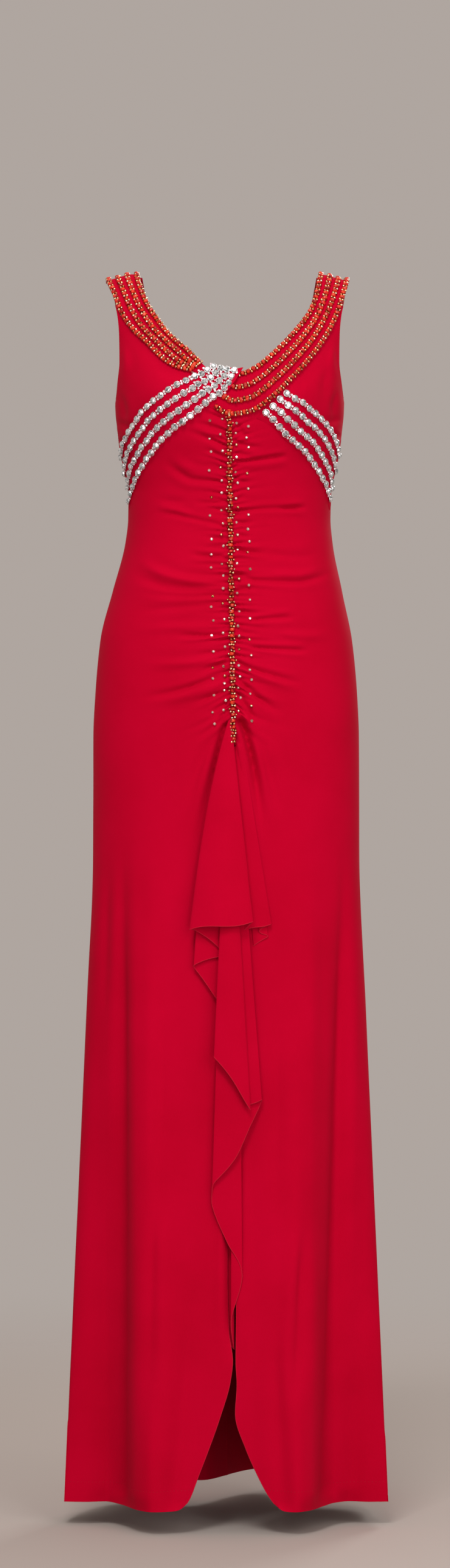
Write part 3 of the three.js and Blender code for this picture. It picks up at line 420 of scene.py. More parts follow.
def crease_relief(x, z, creases):
    """A valley with soft shoulders along each path; it deepens after its start and dies out at its end."""
    total = np.zeros(x.shape)
    for depth, width, lead, tail, *points in creases:
        path = smooth_path(points)
        margin = 7 * width      # the shoulders of a crease reach this far
        low, high = path.min(0) - margin, path.max(0) + margin
        near = (x > low[0]) & (x < high[0]) & (z > low[1]) & (z < high[1])
        if not near.any():
            continue
        p = np.stack([x[near], z[near]], 1)
        a, d = path[:-1], np.diff(path, axis=0)
        rel = p[:, None] - a[None]
        t = np.clip((rel * d).sum(2) / (d * d).sum(1), 0, 1)
        off = rel - t[..., None] * d
        gap = np.linalg.norm(off, axis=2)
        k = gap.argmin(1)
        rows = np.arange(len(k))
        along = (k + t[rows, k]) / len(d)
        away = gap[rows, k] * np.sign(off[rows, k, 1] * d[k, 0] - off[rows, k, 0] * d[k, 1])
        strength = smoothstep(0, lead / 100, along) * (1 - smoothstep(1 - tail / 100, 1, along))
        w = width * (0.74 + 0.6 * along)
        shape = 0.5 * bell(away - 2.1 * w, 1.35 * w) + 0.34 * bell(away + 2.1 * w, 1.35 * w) - bell(away, w)
        total[near] += depth * 1.3 * strength * shape
    return total


def seam_gathers(s, distance, side):
    """Short uneven gathers beside the centre seam; s is the height at which the grain meets the seam."""
    total = np.zeros(s.shape)
    at, k = -181.0 - 2 * side, 0
    while at > -592:
        depth = 2.6 + 1.0 * math.sin(2.1 * k + side) + 0.5 * math.sin(5.3 * k)
        reach = 11 + 14 * abs(math.sin(1.3 * k + 0.8 * side)) + 7 * abs(math.sin(0.47 * k))
        width = (1.5 + 0.4 * math.sin(1.9 * k + side)) * (1 + distance / 60)
        drift = 0.05 * math.sin(2.7 * k) * distance
        off = s - at - drift
        near = bell(off, width) - 0.5 * bell(off - 3.4, 1.5 * width)
        total -= depth * near * np.exp(-(distance / reach) ** 1.4)
        at -= 6.6 + 1.6 * math.sin(1.7 * k + side) + 1.1 * math.sin(0.9 * k)
        k += 1
    return total


def unrest(x, z, size=0.16):
    """The slight unevenness of hanging cloth."""
    return size * (np.sin(x / 17 + 1.7 * np.sin(z / 61)) + np.sin(z / 23 + 1.3 * np.sin(x / 37))
                   + 0.5 * np.sin(x / 9.1 - z / 13.3))


# ---------- mesh making ----------
def new_object(name, verts, faces, finish, smooth=True, sharp=None):
    mesh = bpy.data.meshes.new(name)
    mesh.from_pydata((np.asarray(verts) * 0.001).tolist(), [], [list(map(int, f)) for f in faces])
    mesh.polygons.foreach_set("use_smooth", [smooth] * len(mesh.polygons))
    if sharp:
        mesh.set_sharp_from_angle(angle=math.radians(sharp))
    mesh.materials.append(finish)
    mesh.validate()
    mesh.update()
    obj = bpy.data.objects.new(name, mesh)
    bpy.context.scene.collection.objects.link(obj)
    return obj


def grid_normals(grid):
    return unit(np.cross(np.gradient(grid, axis=1), np.gradient(grid, axis=0)))


def run(grid, axis):
    """Length along the grid from its start."""
    step = np.linalg.norm(np.diff(grid, axis=axis), axis=-1)
    return np.concatenate([np.zeros_like(step.take([0], axis)), np.cumsum(step, axis=axis)], axis=axis)


def shell(name, outer, inner):
    """A closed thin shell of crepe between two grids, with its cut edges rounded."""
    nc, nr = outer.shape[:2]
    ring = ([(c, 0) for c in range(nc)] + [(nc - 1, r) for r in range(1, nr)]
            + [(c, nr - 1) for c in range(nc - 2, -1, -1)] + [(0, r) for r in range(nr - 2, 0, -1)])
    rc, rr = np.array(ring).T
    mid = (outer + inner) / 2
    beyond = np.zeros_like(mid)
    beyond[0], beyond[-1] = unit(mid[0] - mid[1]), unit(mid[-1] - mid[-2])
    beyond[:, 0] += unit(mid[:, 0] - mid[:, 1])
    beyond[:, -1] += unit(mid[:, -1] - mid[:, -2])
    thick = np.linalg.norm(outer - inner, axis=-1, keepdims=True)
    edge = (mid + beyond * thick * 0.35)[rc, rr]
    verts = np.concatenate([outer.reshape(-1, 3), inner.reshape(-1, 3), edge])
    base = nc * nr
    index = np.arange(base).reshape(nc, nr)
    top = np.stack([index[:-1, :-1], index[1:, :-1], index[1:, 1:], index[:-1, 1:]], -1).reshape(-1, 4)
    upper, middle = index[rc, rr], 2 * base + np.arange(len(ring))
    faces = [top, top[:, ::-1] + base]
    for first, second in ((upper, middle), (middle, upper + base)):
        faces.append(np.stack([first, second, np.roll(second, -1), np.roll(first, -1)], -1))
    faces = np.concatenate(faces)
    p = verts[faces]
    volume = (p[:, 0] * np.cross(p[:, 2], p[:, 3] - p[:, 1])).sum()
    return new_object(name + "_cloth", verts, faces[:, ::-1] if volume < 0 else faces, CREPE, sharp=48)


# ---------- materials ----------
def fill(tree, target, values):
    """Sets a node's sockets, by name or number, from values or other nodes; other names are settings."""
    for key, value in values.items():
        socket = target.inputs[key] if isinstance(key, int) else target.inputs.get(key.replace("_", " "))
        if socket is None:
            setattr(target, key, value)
        elif isinstance(value, bpy.types.NodeSocket):
            tree.links.new(value, socket)
        else:
            socket.default_value = value


def node(tree, kind, **values):
    made = tree.nodes.new("ShaderNode" + kind)
    fill(tree, made, values)
    return made.outputs


def maths(tree, operation, *values):
    made = tree.nodes.new("ShaderNodeMath")
    made.operation = operation
    fill(tree, made, dict(enumerate(values)))
    return made.outputs[0]


def ramp(tree, source, stops):
    made = tree.nodes.new("ShaderNodeValToRGB")
    elements = made.color_ramp.elements
    while len(elements) < len(stops):
        elements.new(0.5)
    for element, (at, colour) in zip(elements, stops):
        element.position, element.color = at, (*colour, 1)
    tree.links.new(source, made.inputs[0])
    return made.outputs[0]


def material(name, build, **values):
    """A material; build returns the sockets that it works out, and values are the plain ones."""
    made = bpy.data.materials.new(name)
    made.use_nodes = True
    shader = made.node_tree.nodes["Principled BSDF"]
    where = node(made.node_tree, "TexCoord")["Object"]
    fill(made.node_tree, shader, {**values, **build(made.node_tree, where)})
    return made


def crepe(name, deep, main, light, **values):
    """Fine woven cloth, clouded in colour, with its threads and pebbly grain raised."""
    def build(tree, where):
        cloud = node(tree, "TexNoise", Vector=where, Scale=9.0, Detail=3.0, Roughness=0.55)["Fac"]
        fleck = node(tree, "TexNoise", Vector=where, Scale=900.0, Detail=2.0, Roughness=0.7)["Fac"]
        warp, weft = (node(tree, "TexWave", Vector=where, Scale=2300.0 / 6.283, Distortion=1.2,
                           Detail_Scale=3.0, bands_direction=way)["Fac"] for way in "XZ")
        shade = maths(tree, "MULTIPLY_ADD", fleck, 0.3, cloud)
        grain = maths(tree, "MULTIPLY_ADD", fleck, 1.6, maths(tree, "ADD", warp, weft))
        return {"Base Color": ramp(tree, shade, [(0.42, deep), (0.66, main), (0.92, light)]),
                "Roughness": node(tree, "MapRange", Value=cloud, To_Min=0.62, To_Max=0.78)[0],
                "Normal": node(tree, "Bump", Strength=0.12, Distance=0.00025, Height=grain)[0]}
    return material(name, build, **values)


def speckles_and_painted_glints(name, stops, scale, rough, bump=0.0, **values):
    """Colour that changes from bead to bead and from facet to facet; on the crystals and seed stones this is
    painted glints.
    """
    def build(tree, where):
        cells = node(tree, "TexVoronoi", Vector=where, Scale=scale)["Color"]
        split = node(tree, "SeparateColor", Color=cells)
        sockets = {"Base Color": ramp(tree, split[0], stops),
                   "Roughness": node(tree, "MapRange", Value=split[1], To_Min=rough[0], To_Max=rough[1])[0]}
        if bump:
            noise = node(tree, "TexNoise", Vector=where, Scale=scale * 3)["Fac"]
            sockets["Normal"] = node(tree, "Bump", Strength=0.3, Distance=bump, Height=noise)[0]
        return sockets
    return material(name, build, **values)


CREPE = crepe("red_crepe", (0.405, 0.0003, 0.016), (0.435, 0.0004, 0.0185), (0.46, 0.0005, 0.021),
              Sheen_Weight=0.08, Sheen_Roughness=0.5, Sheen_Tint=(1.0, 0.03, 0.10, 1),
              Specular_IOR_Level=0.05, Specular_Tint=(1.0, 0.2, 0.25, 1))
# The rolled hems' crepe is a little lighter than the gown's: a painted highlight along the rolled edges.
ROLL = crepe("rolled_hem", (0.41, 0.0006, 0.017), (0.45, 0.001, 0.020), (0.49, 0.002, 0.024),
             Sheen_Weight=0.15, Sheen_Roughness=0.4, Sheen_Tint=(1.0, 0.2, 0.3, 1), Specular_IOR_Level=0.2)
THREAD = speckles_and_painted_glints("sewing_thread", [(0.2, (0.30, 0.0005, 0.012)), (0.8, (0.40, 0.001, 0.017))], 700.0,
                  (0.5, 0.65), Specular_IOR_Level=0.3)
# The crystals go from dark grey to near white from facet to facet: painted glints and dark reflections on the
# facets.
CRYSTAL = speckles_and_painted_glints("crystal", [(0.0, (0.15, 0.18, 0.19)), (0.2, (0.38, 0.42, 0.43)),
                               (0.5, (0.68, 0.72, 0.73)), (1.0, (0.96, 0.97, 0.98))], 560.0, (0.02, 0.10),
                   Metallic=0.75, Coat_Weight=0.4, Coat_Roughness=0.03)
SILVER = speckles_and_painted_glints("silver_setting", [(0.1, (0.55, 0.50, 0.50)), (0.9, (0.88, 0.84, 0.85))], 600.0,
                  (0.15, 0.32), 0.00005, Metallic=1.0)
# The seed stones go from pink-grey to near white from facet to facet: painted glints on their facets.
SEED = speckles_and_painted_glints("seed_stone", [(0.0, (0.62, 0.36, 0.42)), (0.4, (0.86, 0.72, 0.76)),
                               (1.0, (0.97, 0.94, 0.95))], 500.0, (0.04, 0.14),
                Metallic=0.3, Coat_Weight=0.6, Coat_Roughness=0.04)
GOLD = speckles_and_painted_glints("gold_bead", [(0.0, (0.16, 0.05, 0.012)), (0.3, (0.46, 0.19, 0.06)),
                              (0.6, (0.82, 0.50, 0.23)), (1.0, (1.0, 0.88, 0.66))], 560.0,
                (0.05, 0.16), Metallic=0.95)
CORAL = speckles_and_painted_glints("red_orange_bead", [(0.0, (0.12, 0.001, 0.002)), (0.3, (0.40, 0.006, 0.003)),
                                     (0.65, (0.54, 0.013, 0.004)), (1.0, (0.74, 0.052, 0.011))], 420.0,
                 (0.16, 0.35), Specular_IOR_Level=0.35)
STUD = speckles_and_painted_glints("stud", [(0.0, (0.44, 0.24, 0.16)), (0.4, (0.76, 0.60, 0.52)), (1.0, (0.98, 0.95, 0.93))],
                300.0, (0.06, 0.18), Metallic=0.8)


# ---------- bead shapes ----------
def turned(rings, sides):
    """A faceted closed form turned about z: rings of (radius, height, phase) from the top down."""
    verts, faces = [], [list(range(sides))]
    for radius, height, phase in rings:
        for k in range(sides):
            a = 2 * math.pi * (k + phase) / sides
            verts.append((radius * math.cos(a), radius * math.sin(a), height))
    for i, (upper, lower) in enumerate(zip(rings, rings[1:])):
        o, p = i * sides, (i + 1) * sides
        for k in range(sides):
            n = (k + 1) % sides
            if lower[2] == upper[2]:
                faces.append([o + k, p + k, p + n, o + n])
            elif lower[2] > upper[2]:
                faces += [[o + k, p + k, o + n], [o + n, p + k, p + n]]
            else:
                faces += [[o + k, p + k, p + n], [o + k, p + n, o + n]]
    faces.append(list(range(len(verts) - sides, len(verts)))[::-1])
    return np.array(verts, float), faces


def tyre(radius, tube, height, sides, around):
    """A closed ring round z."""
    verts, faces = [], []
    for k in range(sides):
        a, n = 2 * math.pi * k / sides, (k + 1) % sides
        for j in range(around):
            b, m = 2 * math.pi * j / around, (j + 1) % around
            r = radius + tube * math.cos(b)
            verts.append((r * math.cos(a), r * math.sin(a), height + tube * math.sin(b)))
            faces.append([k * around + j, n * around + j, n * around + m, k * around + m])
    return np.array(verts, float), faces


def laid(shape):
    """Turns a form's axis from z to x, the direction in which a bead is threaded."""
    verts, faces = shape
    return verts[:, [2, 0, 1]], faces


BRILLIANT = turned([(0.26, 0.46, 0), (0.385, 0.36, 0.5), (0.47, 0.22, 0), (0.48, 0.10, 0), (0.36, 0, 0)], 9)
SETTING = tyre(0.475, 0.055, 0.10, 18, 5)
SMALL_STONE = turned([(0.25, 0.52, 0), (0.42, 0.34, 0.5), (0.5, 0.16, 0), (0.44, 0, 0)], 7)
RONDELLE = laid(turned([(0.24, 0.34, 0), (0.44, 0.26, 0), (0.5, 0.08, 0.5), (0.5, -0.08, 0),
                        (0.44, -0.26, 0.5), (0.24, -0.34, 0.5)], 9))
ROUND_BEAD = laid(turned([(0.14, 0.48, 0), (0.36, 0.33, 0.5), (0.5, 0.1, 0), (0.5, -0.1, 0.5),
                          (0.36, -0.33, 0), (0.14, -0.48, 0.5)], 7))
STITCH = laid(turned([(0.05, 0.5, 0), (0.16, 0.4, 0), (0.2, 0, 0), (0.16, -0.4, 0), (0.05, -0.5, 0)], 5))


class Pile:
    """Many copies of small forms that end up as one mesh."""

    def __init__(self, name, finish, smooth=False):
        self.name, self.finish, self.smooth = name, finish, smooth
        self.verts, self.faces, self.count = [], [], 0

    def add(self, shape, place, axes, size):
        verts, faces = shape
        self.verts.append(place + (verts * size) @ axes)
        way = -1 if np.linalg.det(axes) < 0 else 1
        self.faces += [[self.count + i for i in f[::way]] for f in faces]
        self.count += len(verts)

    def make(self):
        return new_object(self.name, np.concatenate(self.verts), self.faces, self.finish, self.smooth)


# ---------- panels ----------
grids = {}      # a cloth's outer face, or the cascade's middle, and its normals: the sewing follows them


def outward(grid, reference):
    n = grid_normals(grid)
    return n * np.sign((n * reference).sum())


def seam_dip(away):
    """Cloth is pressed in a little along a seam."""
    return 0.45 * bell(away, 2.2)


def panel(name, base, normal, relief):
    outer = base + normal * relief[..., None]
    n = outward(outer, outer * np.array([1.0, 1.0, 0.0]))
    grids[name] = outer, n
    return shell(name, outer, outer - n * CLOTH)


def grain_reach(distance):
    """How much of the grain's drop has happened at a distance out from the centre seam."""
    return GRAIN_REACH * (1 - np.exp(-distance / GRAIN_REACH))


def seam_height(z, reach, rounds):
    """Height at which the grain through a place meets the centre seam."""
    s = np.array(z, float)
    for _ in range(rounds):
        s = (s + z - grain_at(s) * reach) / 2
    return s


def panel_edges(z, side):
    """x of a front panel's edges at the centre and at the side seam."""
    return right_edge_at(z) + (gap_at(z) if side > 0 else 0), shift_at(z) + side * side_at(z)


def front_relief(x, z, side):
    edge, seam = panel_edges(z, side)
    distance = GRAIN_WIDTH * np.clip((x - edge) / (seam - edge), 0, 1)
    s = seam_height(z, grain_reach(distance), 24)
    creases = (LEFT_CREASES if side > 0 else RIGHT_CREASES) + SKIRT_CREASES
    relief = crease_relief(x, z, creases) + seam_gathers(s, distance, side) * smoothstep(-572, -540, s)
    clear = smoothstep(18, 36, bust_seam(x) - z)
    return (relief + unrest(x, z)) * clear - 0.9 * bell(distance, 2.4) * smoothstep(-612, -600, z)


def front_surface(x, z, side):
    x, z = np.asarray(x, float), np.asarray(z, float)
    here, _, normal = form_frame(front_angle(x, z), z)
    return here + normal * front_relief(x, z, side)[..., None]


def front_panel(side):
    spread = np.linspace(0, 1, 97)[:, None]
    share = sin_d(spread * 90)
    distance = share * GRAIN_WIDTH
    reach = grain_reach(distance)
    above = panel_edges(SLIT_WIDENS, side)[0]

    def place_x(z):
        edge, seam = panel_edges(z, side)
        even = above + (seam - above) * share
        drawn = even + (edge - above) * np.exp(-np.abs(even - above) / SLIT_REACH) * (1 - spread)
        return np.where(z < SLIT_WIDENS, drawn, edge + (seam - edge) * share)

    top = np.full(spread.shape, -200.0)
    for _ in range(16):
        top = (top + bust_seam(place_x(top))) / 2
    top[-1] = BAND_END
    start = seam_height(top - SEAM_GAP, reach, 40)
    s = np.concatenate([start + (SEAM_FOOT - start) * np.linspace(0, 1, 306)[None],
                        np.linspace(SEAM_FOOT, HEM, 146)[None, 1:] + 0 * spread], 1)
    z = s + grain_at(s) * reach + 9 * np.exp(-distance / 9) * smoothstep(-1500, HEM, s)
    x = place_x(z)
    around = front_angle(x, z)
    around[-1] = side * 90
    base, tangent, normal = form_frame(around, z)
    base[-1] -= tangent[-1] * side * SEAM_GAP / 2
    to_seam = run(base[::-1], 0)[::-1]
    relief = front_relief(x, z, side) * smoothstep(0, 12, to_seam) - seam_dip(to_seam)
    return panel("front_" + SIDE[side], base, normal, relief)


def back_panel(side):
    spread = np.linspace(0, 1, 85)[:, None]

    def angle(z):
        half = np.where(z > UNDERARM, back_armhole(z), side_at(z))
        return np.degrees(np.arcsin(np.minimum(sin_d(spread * 90) * np.minimum(half / side_at(z), 1), 1)))

    def place(z):
        return side_at(z) * sin_d(angle(z))

    top = np.full(spread.shape, -150.0)
    for _ in range(24):
        top = (top + back_neckline(np.minimum(place(top), 110))) / 2
    top = np.where(place(top) > 108, ridge(place(top)) - 3.2, top)
    yoke = UNDERARM - 5
    level = np.concatenate([np.linspace(yoke, -375, 52)[1:], np.linspace(-375, -650, 51)[1:],
                            np.linspace(-650, HEM, 101)[1:]])
    z = np.concatenate([top + (yoke - top) * np.linspace(0, 1, 46)[None], level[None] + 0 * spread], 1)
    base, tangent, normal = form_frame(side * (180 - angle(z)), z)
    base[0] -= tangent[0] * side * SEAM_GAP / 2
    base[-1] += tangent[-1] * side * SEAM_GAP / 2
    from_centre, to_seam = run(base, 0), run(base[::-1], 0)[::-1]
    relief = crease_relief(base[..., 0], z, BACK_CREASES) + unrest(base[..., 0] + 40, z - 30)
    relief *= smoothstep(0, 12, to_seam) * smoothstep(0, 8, from_centre) * smoothstep(0, 20, top - z)
    return panel("back_" + SIDE[side], base, normal, relief - seam_dip(np.minimum(to_seam, from_centre)))


def cup(side):
    """A panel spanned between four edges, each a pair of angle round and height."""
    xs, zs = columns(LEFT_CUP_EDGE if side > 0 else RIGHT_CUP_EDGE)
    last = len(xs) - 1
    edge_x, edge_z = Curve(np.arange(last + 1), xs), Curve(np.arange(last + 1), zs)
    u, v = np.linspace(0, 1, 65)[:, None], np.linspace(0, 1, 73)[None]

    z = mix(zs[0], BAND_END + SEAM_GAP, v)
    around = front_angle(shift_at(z) + side * front_armhole(z), z)
    armhole = np.stack([np.where(z <= UNDERARM, side * 90.0, around), z])
    x, z = edge_x(v * last), edge_z(v * last)
    strap = np.stack([front_angle(x, z), z])

    around = mix(side * 90, front_angle(xs[-1], zs[-1]), u)
    z = np.full(u.shape, BAND_END)
    for _ in range(16):
        z = (z + np.maximum(bust_seam(shift_at(z) + side_at(z) * sin_d(around)), BAND_END)) / 2
    z = z + (SEAM_GAP + 1.5) * np.minimum(u * 12, 1)
    foot = np.stack([around, mix(z, zs[-1], np.clip((u - 0.86) / 0.14, 0, 1))])

    head, low_corners = mix(armhole[..., :1], strap[..., :1], u), mix(armhole[..., -1:], strap[..., -1:], u)
    around, z = mix(armhole, strap, u) + mix(head, foot, v) - mix(head, low_corners, v)
    base, tangent, normal = form_frame(around, z)
    below = z[0] <= UNDERARM + 1
    base[0, below] -= tangent[0, below] * side * SEAM_GAP / 2
    x, from_edge = base[..., 0], run(base, 0)
    relief = crease_relief(x, z, CUP_CREASES) + unrest(x - 20, z + 15, 0.12)
    relief *= smoothstep(18, 34, z - bust_seam(x))
    relief *= smoothstep(0, 9, from_edge) * smoothstep(8, 26, run(base[::-1], 0)[::-1])
    return panel("cup_" + SIDE[side], base, normal, relief - 0.35 * bell(from_edge, 2))


# ---------- straps and stone bands ----------
class Strip:
    """A band between two edges of a table: gives places and frames (along, across, outwards) on it."""

    def __init__(self, table, rise, over_shoulder=False):
        self.edges = [Curve(np.arange(len(table)), c) for c in columns(table)]
        self.rise, self.over_shoulder = rise, over_shoulder

    def base(self, share, at):
        fx, fz, lx, lz = (edge(at) for edge in self.edges)
        if self.over_shoulder:
            x = fx + (lx - fx) * share
            first, last = ridge(fx) - fz, ridge(lx) - lz
            z = ridge(x) - np.maximum(first + (last - first) * share, 0)
            behind = np.stack([x, shoulder_depth(x, z), z], -1)
            return np.where((at + 0 * share < 2)[..., None], behind, form(front_angle(x, z), z))
        around = mix(front_angle(fx, fz), front_angle(lx, lz), share)
        return form(np.clip(around, -BAND_REACH, BAND_REACH), fz + (lz - fz) * share)

    def frame(self, share, at):
        share, at = np.broadcast_arrays(np.asarray(share, float), np.asarray(at, float))
        along = self.base(share, at + 0.06) - self.base(share, at - 0.06)
        across = self.base(share + 0.03, at) - self.base(share - 0.03, at)
        normal = unit(np.cross(along, across))
        if (normal * FRONT_AND_UP).sum() < 0:
            normal = -normal
        along = unit(along)
        return along, unit(np.cross(normal, along)), normal

    def place(self, share, at):
        share, at = np.broadcast_arrays(np.asarray(share, float), np.asarray(at, float))
        return self.base(share, at) + self.frame(share, at)[2] * self.rise(share, at)[..., None]

    def spaced(self, share, first, last, pitch):
        """Stations at a pitch along the line that share gives, both as functions of the station."""
        at = np.linspace(first, last, 900)
        length = run(self.place(share(at), at), 0)
        stations, s = [], 0.0
        while s <= length[-1]:
            stations.append(float(np.interp(s, length, at)))
            s += pitch(stations[-1])
        return np.array(stations)


FRONT_AND_UP = np.array([0.0, -1.0, 0.6])


def edge_fall(share, width):
    """The long edges are turned under, so they lie lower."""
    return -bell(np.minimum(share, 1 - share) * width, 2.2)


def strap_rise(share, at):
    lift = (CLOTH + BAND_LIFT) * smoothstep(4, 6, at) - CLOTH + BAND_CLOTH
    return lift + edge_fall(share, 42) + 0.12 * np.sin(at * 5.1 + share * 7)


def right_band_rise(share, at):
    """It lies over the left band at the crossing, where its lower edge curls up."""
    over = 1.5 * (1 - smoothstep(1.6, 4.2, at))
    curl = 3.6 * smoothstep(0.84, 0.97, share) * (1 - smoothstep(0.7, 1.9, at))
    fall = edge_fall(share, 48) * smoothstep(0.5, 2, at)
    return BAND_LIFT + BAND_CLOTH + over + curl + fall + 0.1 * np.sin(at * 6 + share * 9)


def left_band_rise(share, at):
    return BAND_LIFT + BAND_CLOTH + edge_fall(share, 48) + 0.1 * np.sin(at * 6.4 + share * 8)


# each strip and the last station of its cloth
strips = {
    "strap_right": (Strip(RIGHT_STRAP, strap_rise, True), 12.5),
    "strap_left": (Strip(LEFT_STRAP, strap_rise, True), 15.35),
    "band_right": (Strip(RIGHT_BAND, right_band_rise), 10),
    "band_left": (Strip(LEFT_BAND, left_band_rise), 7),
}


def strip_cloth(name):
    strip, last = strips[name]
    at = strip.spaced(lambda at: np.full(at.shape, 0.5), 0, last, lambda at: 1.6)
    at = np.append(at[:-1], last)[None]
    share = np.linspace(0, 1, 27)[:, None]
    outer = strip.place(share, at)
    n = outward(outer, strip.frame(share, at)[2])
    return shell(name, outer, outer - n * BAND_CLOTH)


def cascade(name, table, rows, bow=0):
    """Folds between the lines of a table; bow swings the wearer's right edge outwards on its way down."""
    tx, tz, to, fx, fz, fo = (Curve(np.arange(len(table)), c) for c in columns(table))
    at = np.arange(0, len(table) - 1 + 1e-6, 1 / FOLD_STEPS)[:, None]
    t = np.linspace(0, 1, rows)[None]
    x, z = tx(at) + (fx(at) - tx(at)) * t, tz(at) + (fz(at) - tz(at)) * t
    breadth = np.abs(np.gradient(fx(at)[:, 0]))[:, None] * FOLD_STEPS
    z = z - 0.045 * breadth * np.sin(np.pi * at) * t ** 8       # the foot waves from fold to fold
    x = x - bow * np.clip(-fx(at) / 45, 0, 1) * np.sin(np.pi * t ** 0.8)
    base = form(front_angle(x, z), z)
    base[..., 1] -= to(at) + (fo(at) - to(at)) * t + 0.35 * np.sin(z / 21 + at * 1.7) * np.minimum(t * 3, 1)
    n = grid_normals(base)
    grids[name] = base, n
    return shell(name, base + n * FLOUNCE_CLOTH / 2, base - n * FLOUNCE_CLOTH / 2)


# ---------- beads, stones and sewing ----------
BEAD_PITCH = 3.8
STONE_PITCH, CROWDED_PITCH = 12.3, 8.9
STONE, CROWDED_STONE = 8.8, 8.3             # across
SEAM_BEADS_TOP, SEAM_BEADS_FOOT = -181.0, -594.0
HEM_STITCH, EDGE_STITCH = (4.6, 1.6, 0.4), (3.0, 2.2, 0.55)      # pitch, length, thickness


def rolled(axes, angle):
    """The axes of a bead, rolled about its thread."""
    cross = axes[1] * math.cos(angle) + axes[2] * math.sin(angle)
    return np.stack([axes[0], cross, np.cross(axes[0], cross)])


def strap_beads(name, last):
    """Four rows in which a red-orange rondelle and a pair of gold beads take turns."""
    strip = strips[name][0]
    coral, gold = Pile(name + "_coral_beads", CORAL), Pile(name + "_gold_beads", GOLD, True)
    for row, share in enumerate((0.075, 0.36, 0.64, 0.925)):
        at = strip.spaced(lambda at: np.full(at.shape, share), 0.1, last[row], lambda at: BEAD_PITCH)
        axes = np.stack(strip.frame(share, at), 1)
        for i, (here, ax) in enumerate(zip(at, axes)):
            place = strip.place(share, here) - ax[2] * 0.9 * (1 - float(smoothstep(2.4, 4.2, here)))
            wobble = math.sin(3.1 * i + 2.3 * row)
            if i % 2 == 0:
                size = [6.6 + 0.5 * wobble, 6.9 + 0.5 * wobble, 5.0]
                place = place + ax[2] * 2.15 + ax[1] * 0.45 * wobble
                coral.add(RONDELLE, place, rolled(ax, 0.5 * math.sin(4.3 * i + row)), size)
                continue
            for hand in (-1, 1):
                tilt = 0.3 * math.sin(5.3 * i + hand + row)
                p = place + ax[2] * 2.1 + ax[1] * (1.8 * hand + 0.3 * wobble) + ax[0] * tilt
                gold.add(ROUND_BEAD, p, ax, np.array([3.3, 3.6, 3.6]) * (1 + 0.1 * tilt))
    return [coral.make(), gold.make()]


def band_stones(name, starts, last, close, narrow):
    """Four rows of set stones, crowded before the stations in close.

    narrow draws the rows together at the start, to the middle where it is above 0 and else to the first edge.
    """
    strip = strips[name][0]
    stones, settings = Pile(name + "_stones", CRYSTAL), Pile(name + "_settings", SILVER, True)
    seeds = Pile(name + "_seeds", SEED)
    middle = 0.5 if narrow > 0 else 0.0
    for row, share in enumerate((0.10, 0.365, 0.635, 0.90)):
        def line(at):
            return middle + (share - middle) * (1 - abs(narrow) * (1 - smoothstep(0, 1.3, at)))

        def pitch(at):
            return CROWDED_PITCH if at < close[row] else STONE_PITCH

        at = strip.spaced(line, starts[row], last[row], pitch)
        axes = np.stack(strip.frame(line(at), at), 1)
        for i, (here, ax) in enumerate(zip(at, axes)):
            place, tight = strip.place(line(here), here), here < close[row]
            axis = unit(ax[2] + 0.1 * (ax[0] * math.sin(2.7 * i + row) + ax[1] * math.sin(4.1 * i + 2 * row)))
            first, turn = unit(np.cross(ax[1], axis)), 0.7 * i + row
            first = first * math.cos(turn) + np.cross(axis, first) * math.sin(turn)
            local = np.stack([first, np.cross(axis, first), axis])
            size = (CROWDED_STONE if tight else STONE) * (1 + 0.03 * math.sin(6.1 * i + row))
            off = ax[1] * (0.5 * math.sin(3.7 * i + 1.9 * row)) * (1.6 if tight else 0.7) + ax[2] * 0.25
            stones.add(BRILLIANT, place + off, local, size)
            settings.add(SETTING, place + off, local, size)
            if tight:
                for hand in (-1, 1):
                    q = place + ax[1] * hand * 4.6 + ax[0] * (2.2 + 1.4 * math.sin(3.3 * i + hand + row))
                    seeds.add(SMALL_STONE, q + ax[2] * 0.9, ax, 3.0 + 0.4 * math.sin(2.2 * i + hand))
            elif i + 1 < len(at):
                between = (here + at[i + 1]) / 2
                p = strip.place(line(between), between) + ax[2] * 0.15
                for hand in (-1, 1):
                    q = p + ax[1] * hand * (1.75 + 0.25 * math.sin(2.9 * i + hand))
                    q = q + ax[0] * 0.4 * math.sin(3.3 * i + hand)
                    seeds.add(SMALL_STONE, q, ax, 3.3 + 0.35 * math.sin(4.7 * i + hand + row))
    return [stones.make(), settings.make(), seeds.make()]


# Columns of studs beside the centre seam: side, column, distance from the seam, heights below the shoulders.
STUDS = [
    (-1, 0, 10.2, [191, 210, 230, 250, 266, 281, 303, 320, 334, 348, 370, 385, 401, 420, 439, 456, 474, 498,
                   510, 519, 527, 540, 552]),
    (-1, 1, 24.2, [193, 215, 231, 254, 287, 310, 340, 358, 375, 411, 424, 441, 460, 479, 500, 513, 534, 555,
                   569]),
    (1, 0, 8.4, [196, 208, 223, 238, 256, 269, 288, 300, 318, 334, 351, 369, 389, 407, 429, 448, 460, 477,
                 497, 510, 524, 537, 553]),
    (1, 1, 22.4, [200, 214, 226, 257, 276, 309, 327, 342, 355, 377, 397, 415, 438, 464, 484, 503, 514, 532,
                  547, 566]),
]
THREADED = np.array([[0.0, 0.0, -1.0], [1.0, 0.0, 0.0], [0.0, -1.0, 0.0]])     # axes of a bead on the seam


def seam_x(z):
    return float(right_edge_at(z) + 0.5 * gap_at(z))


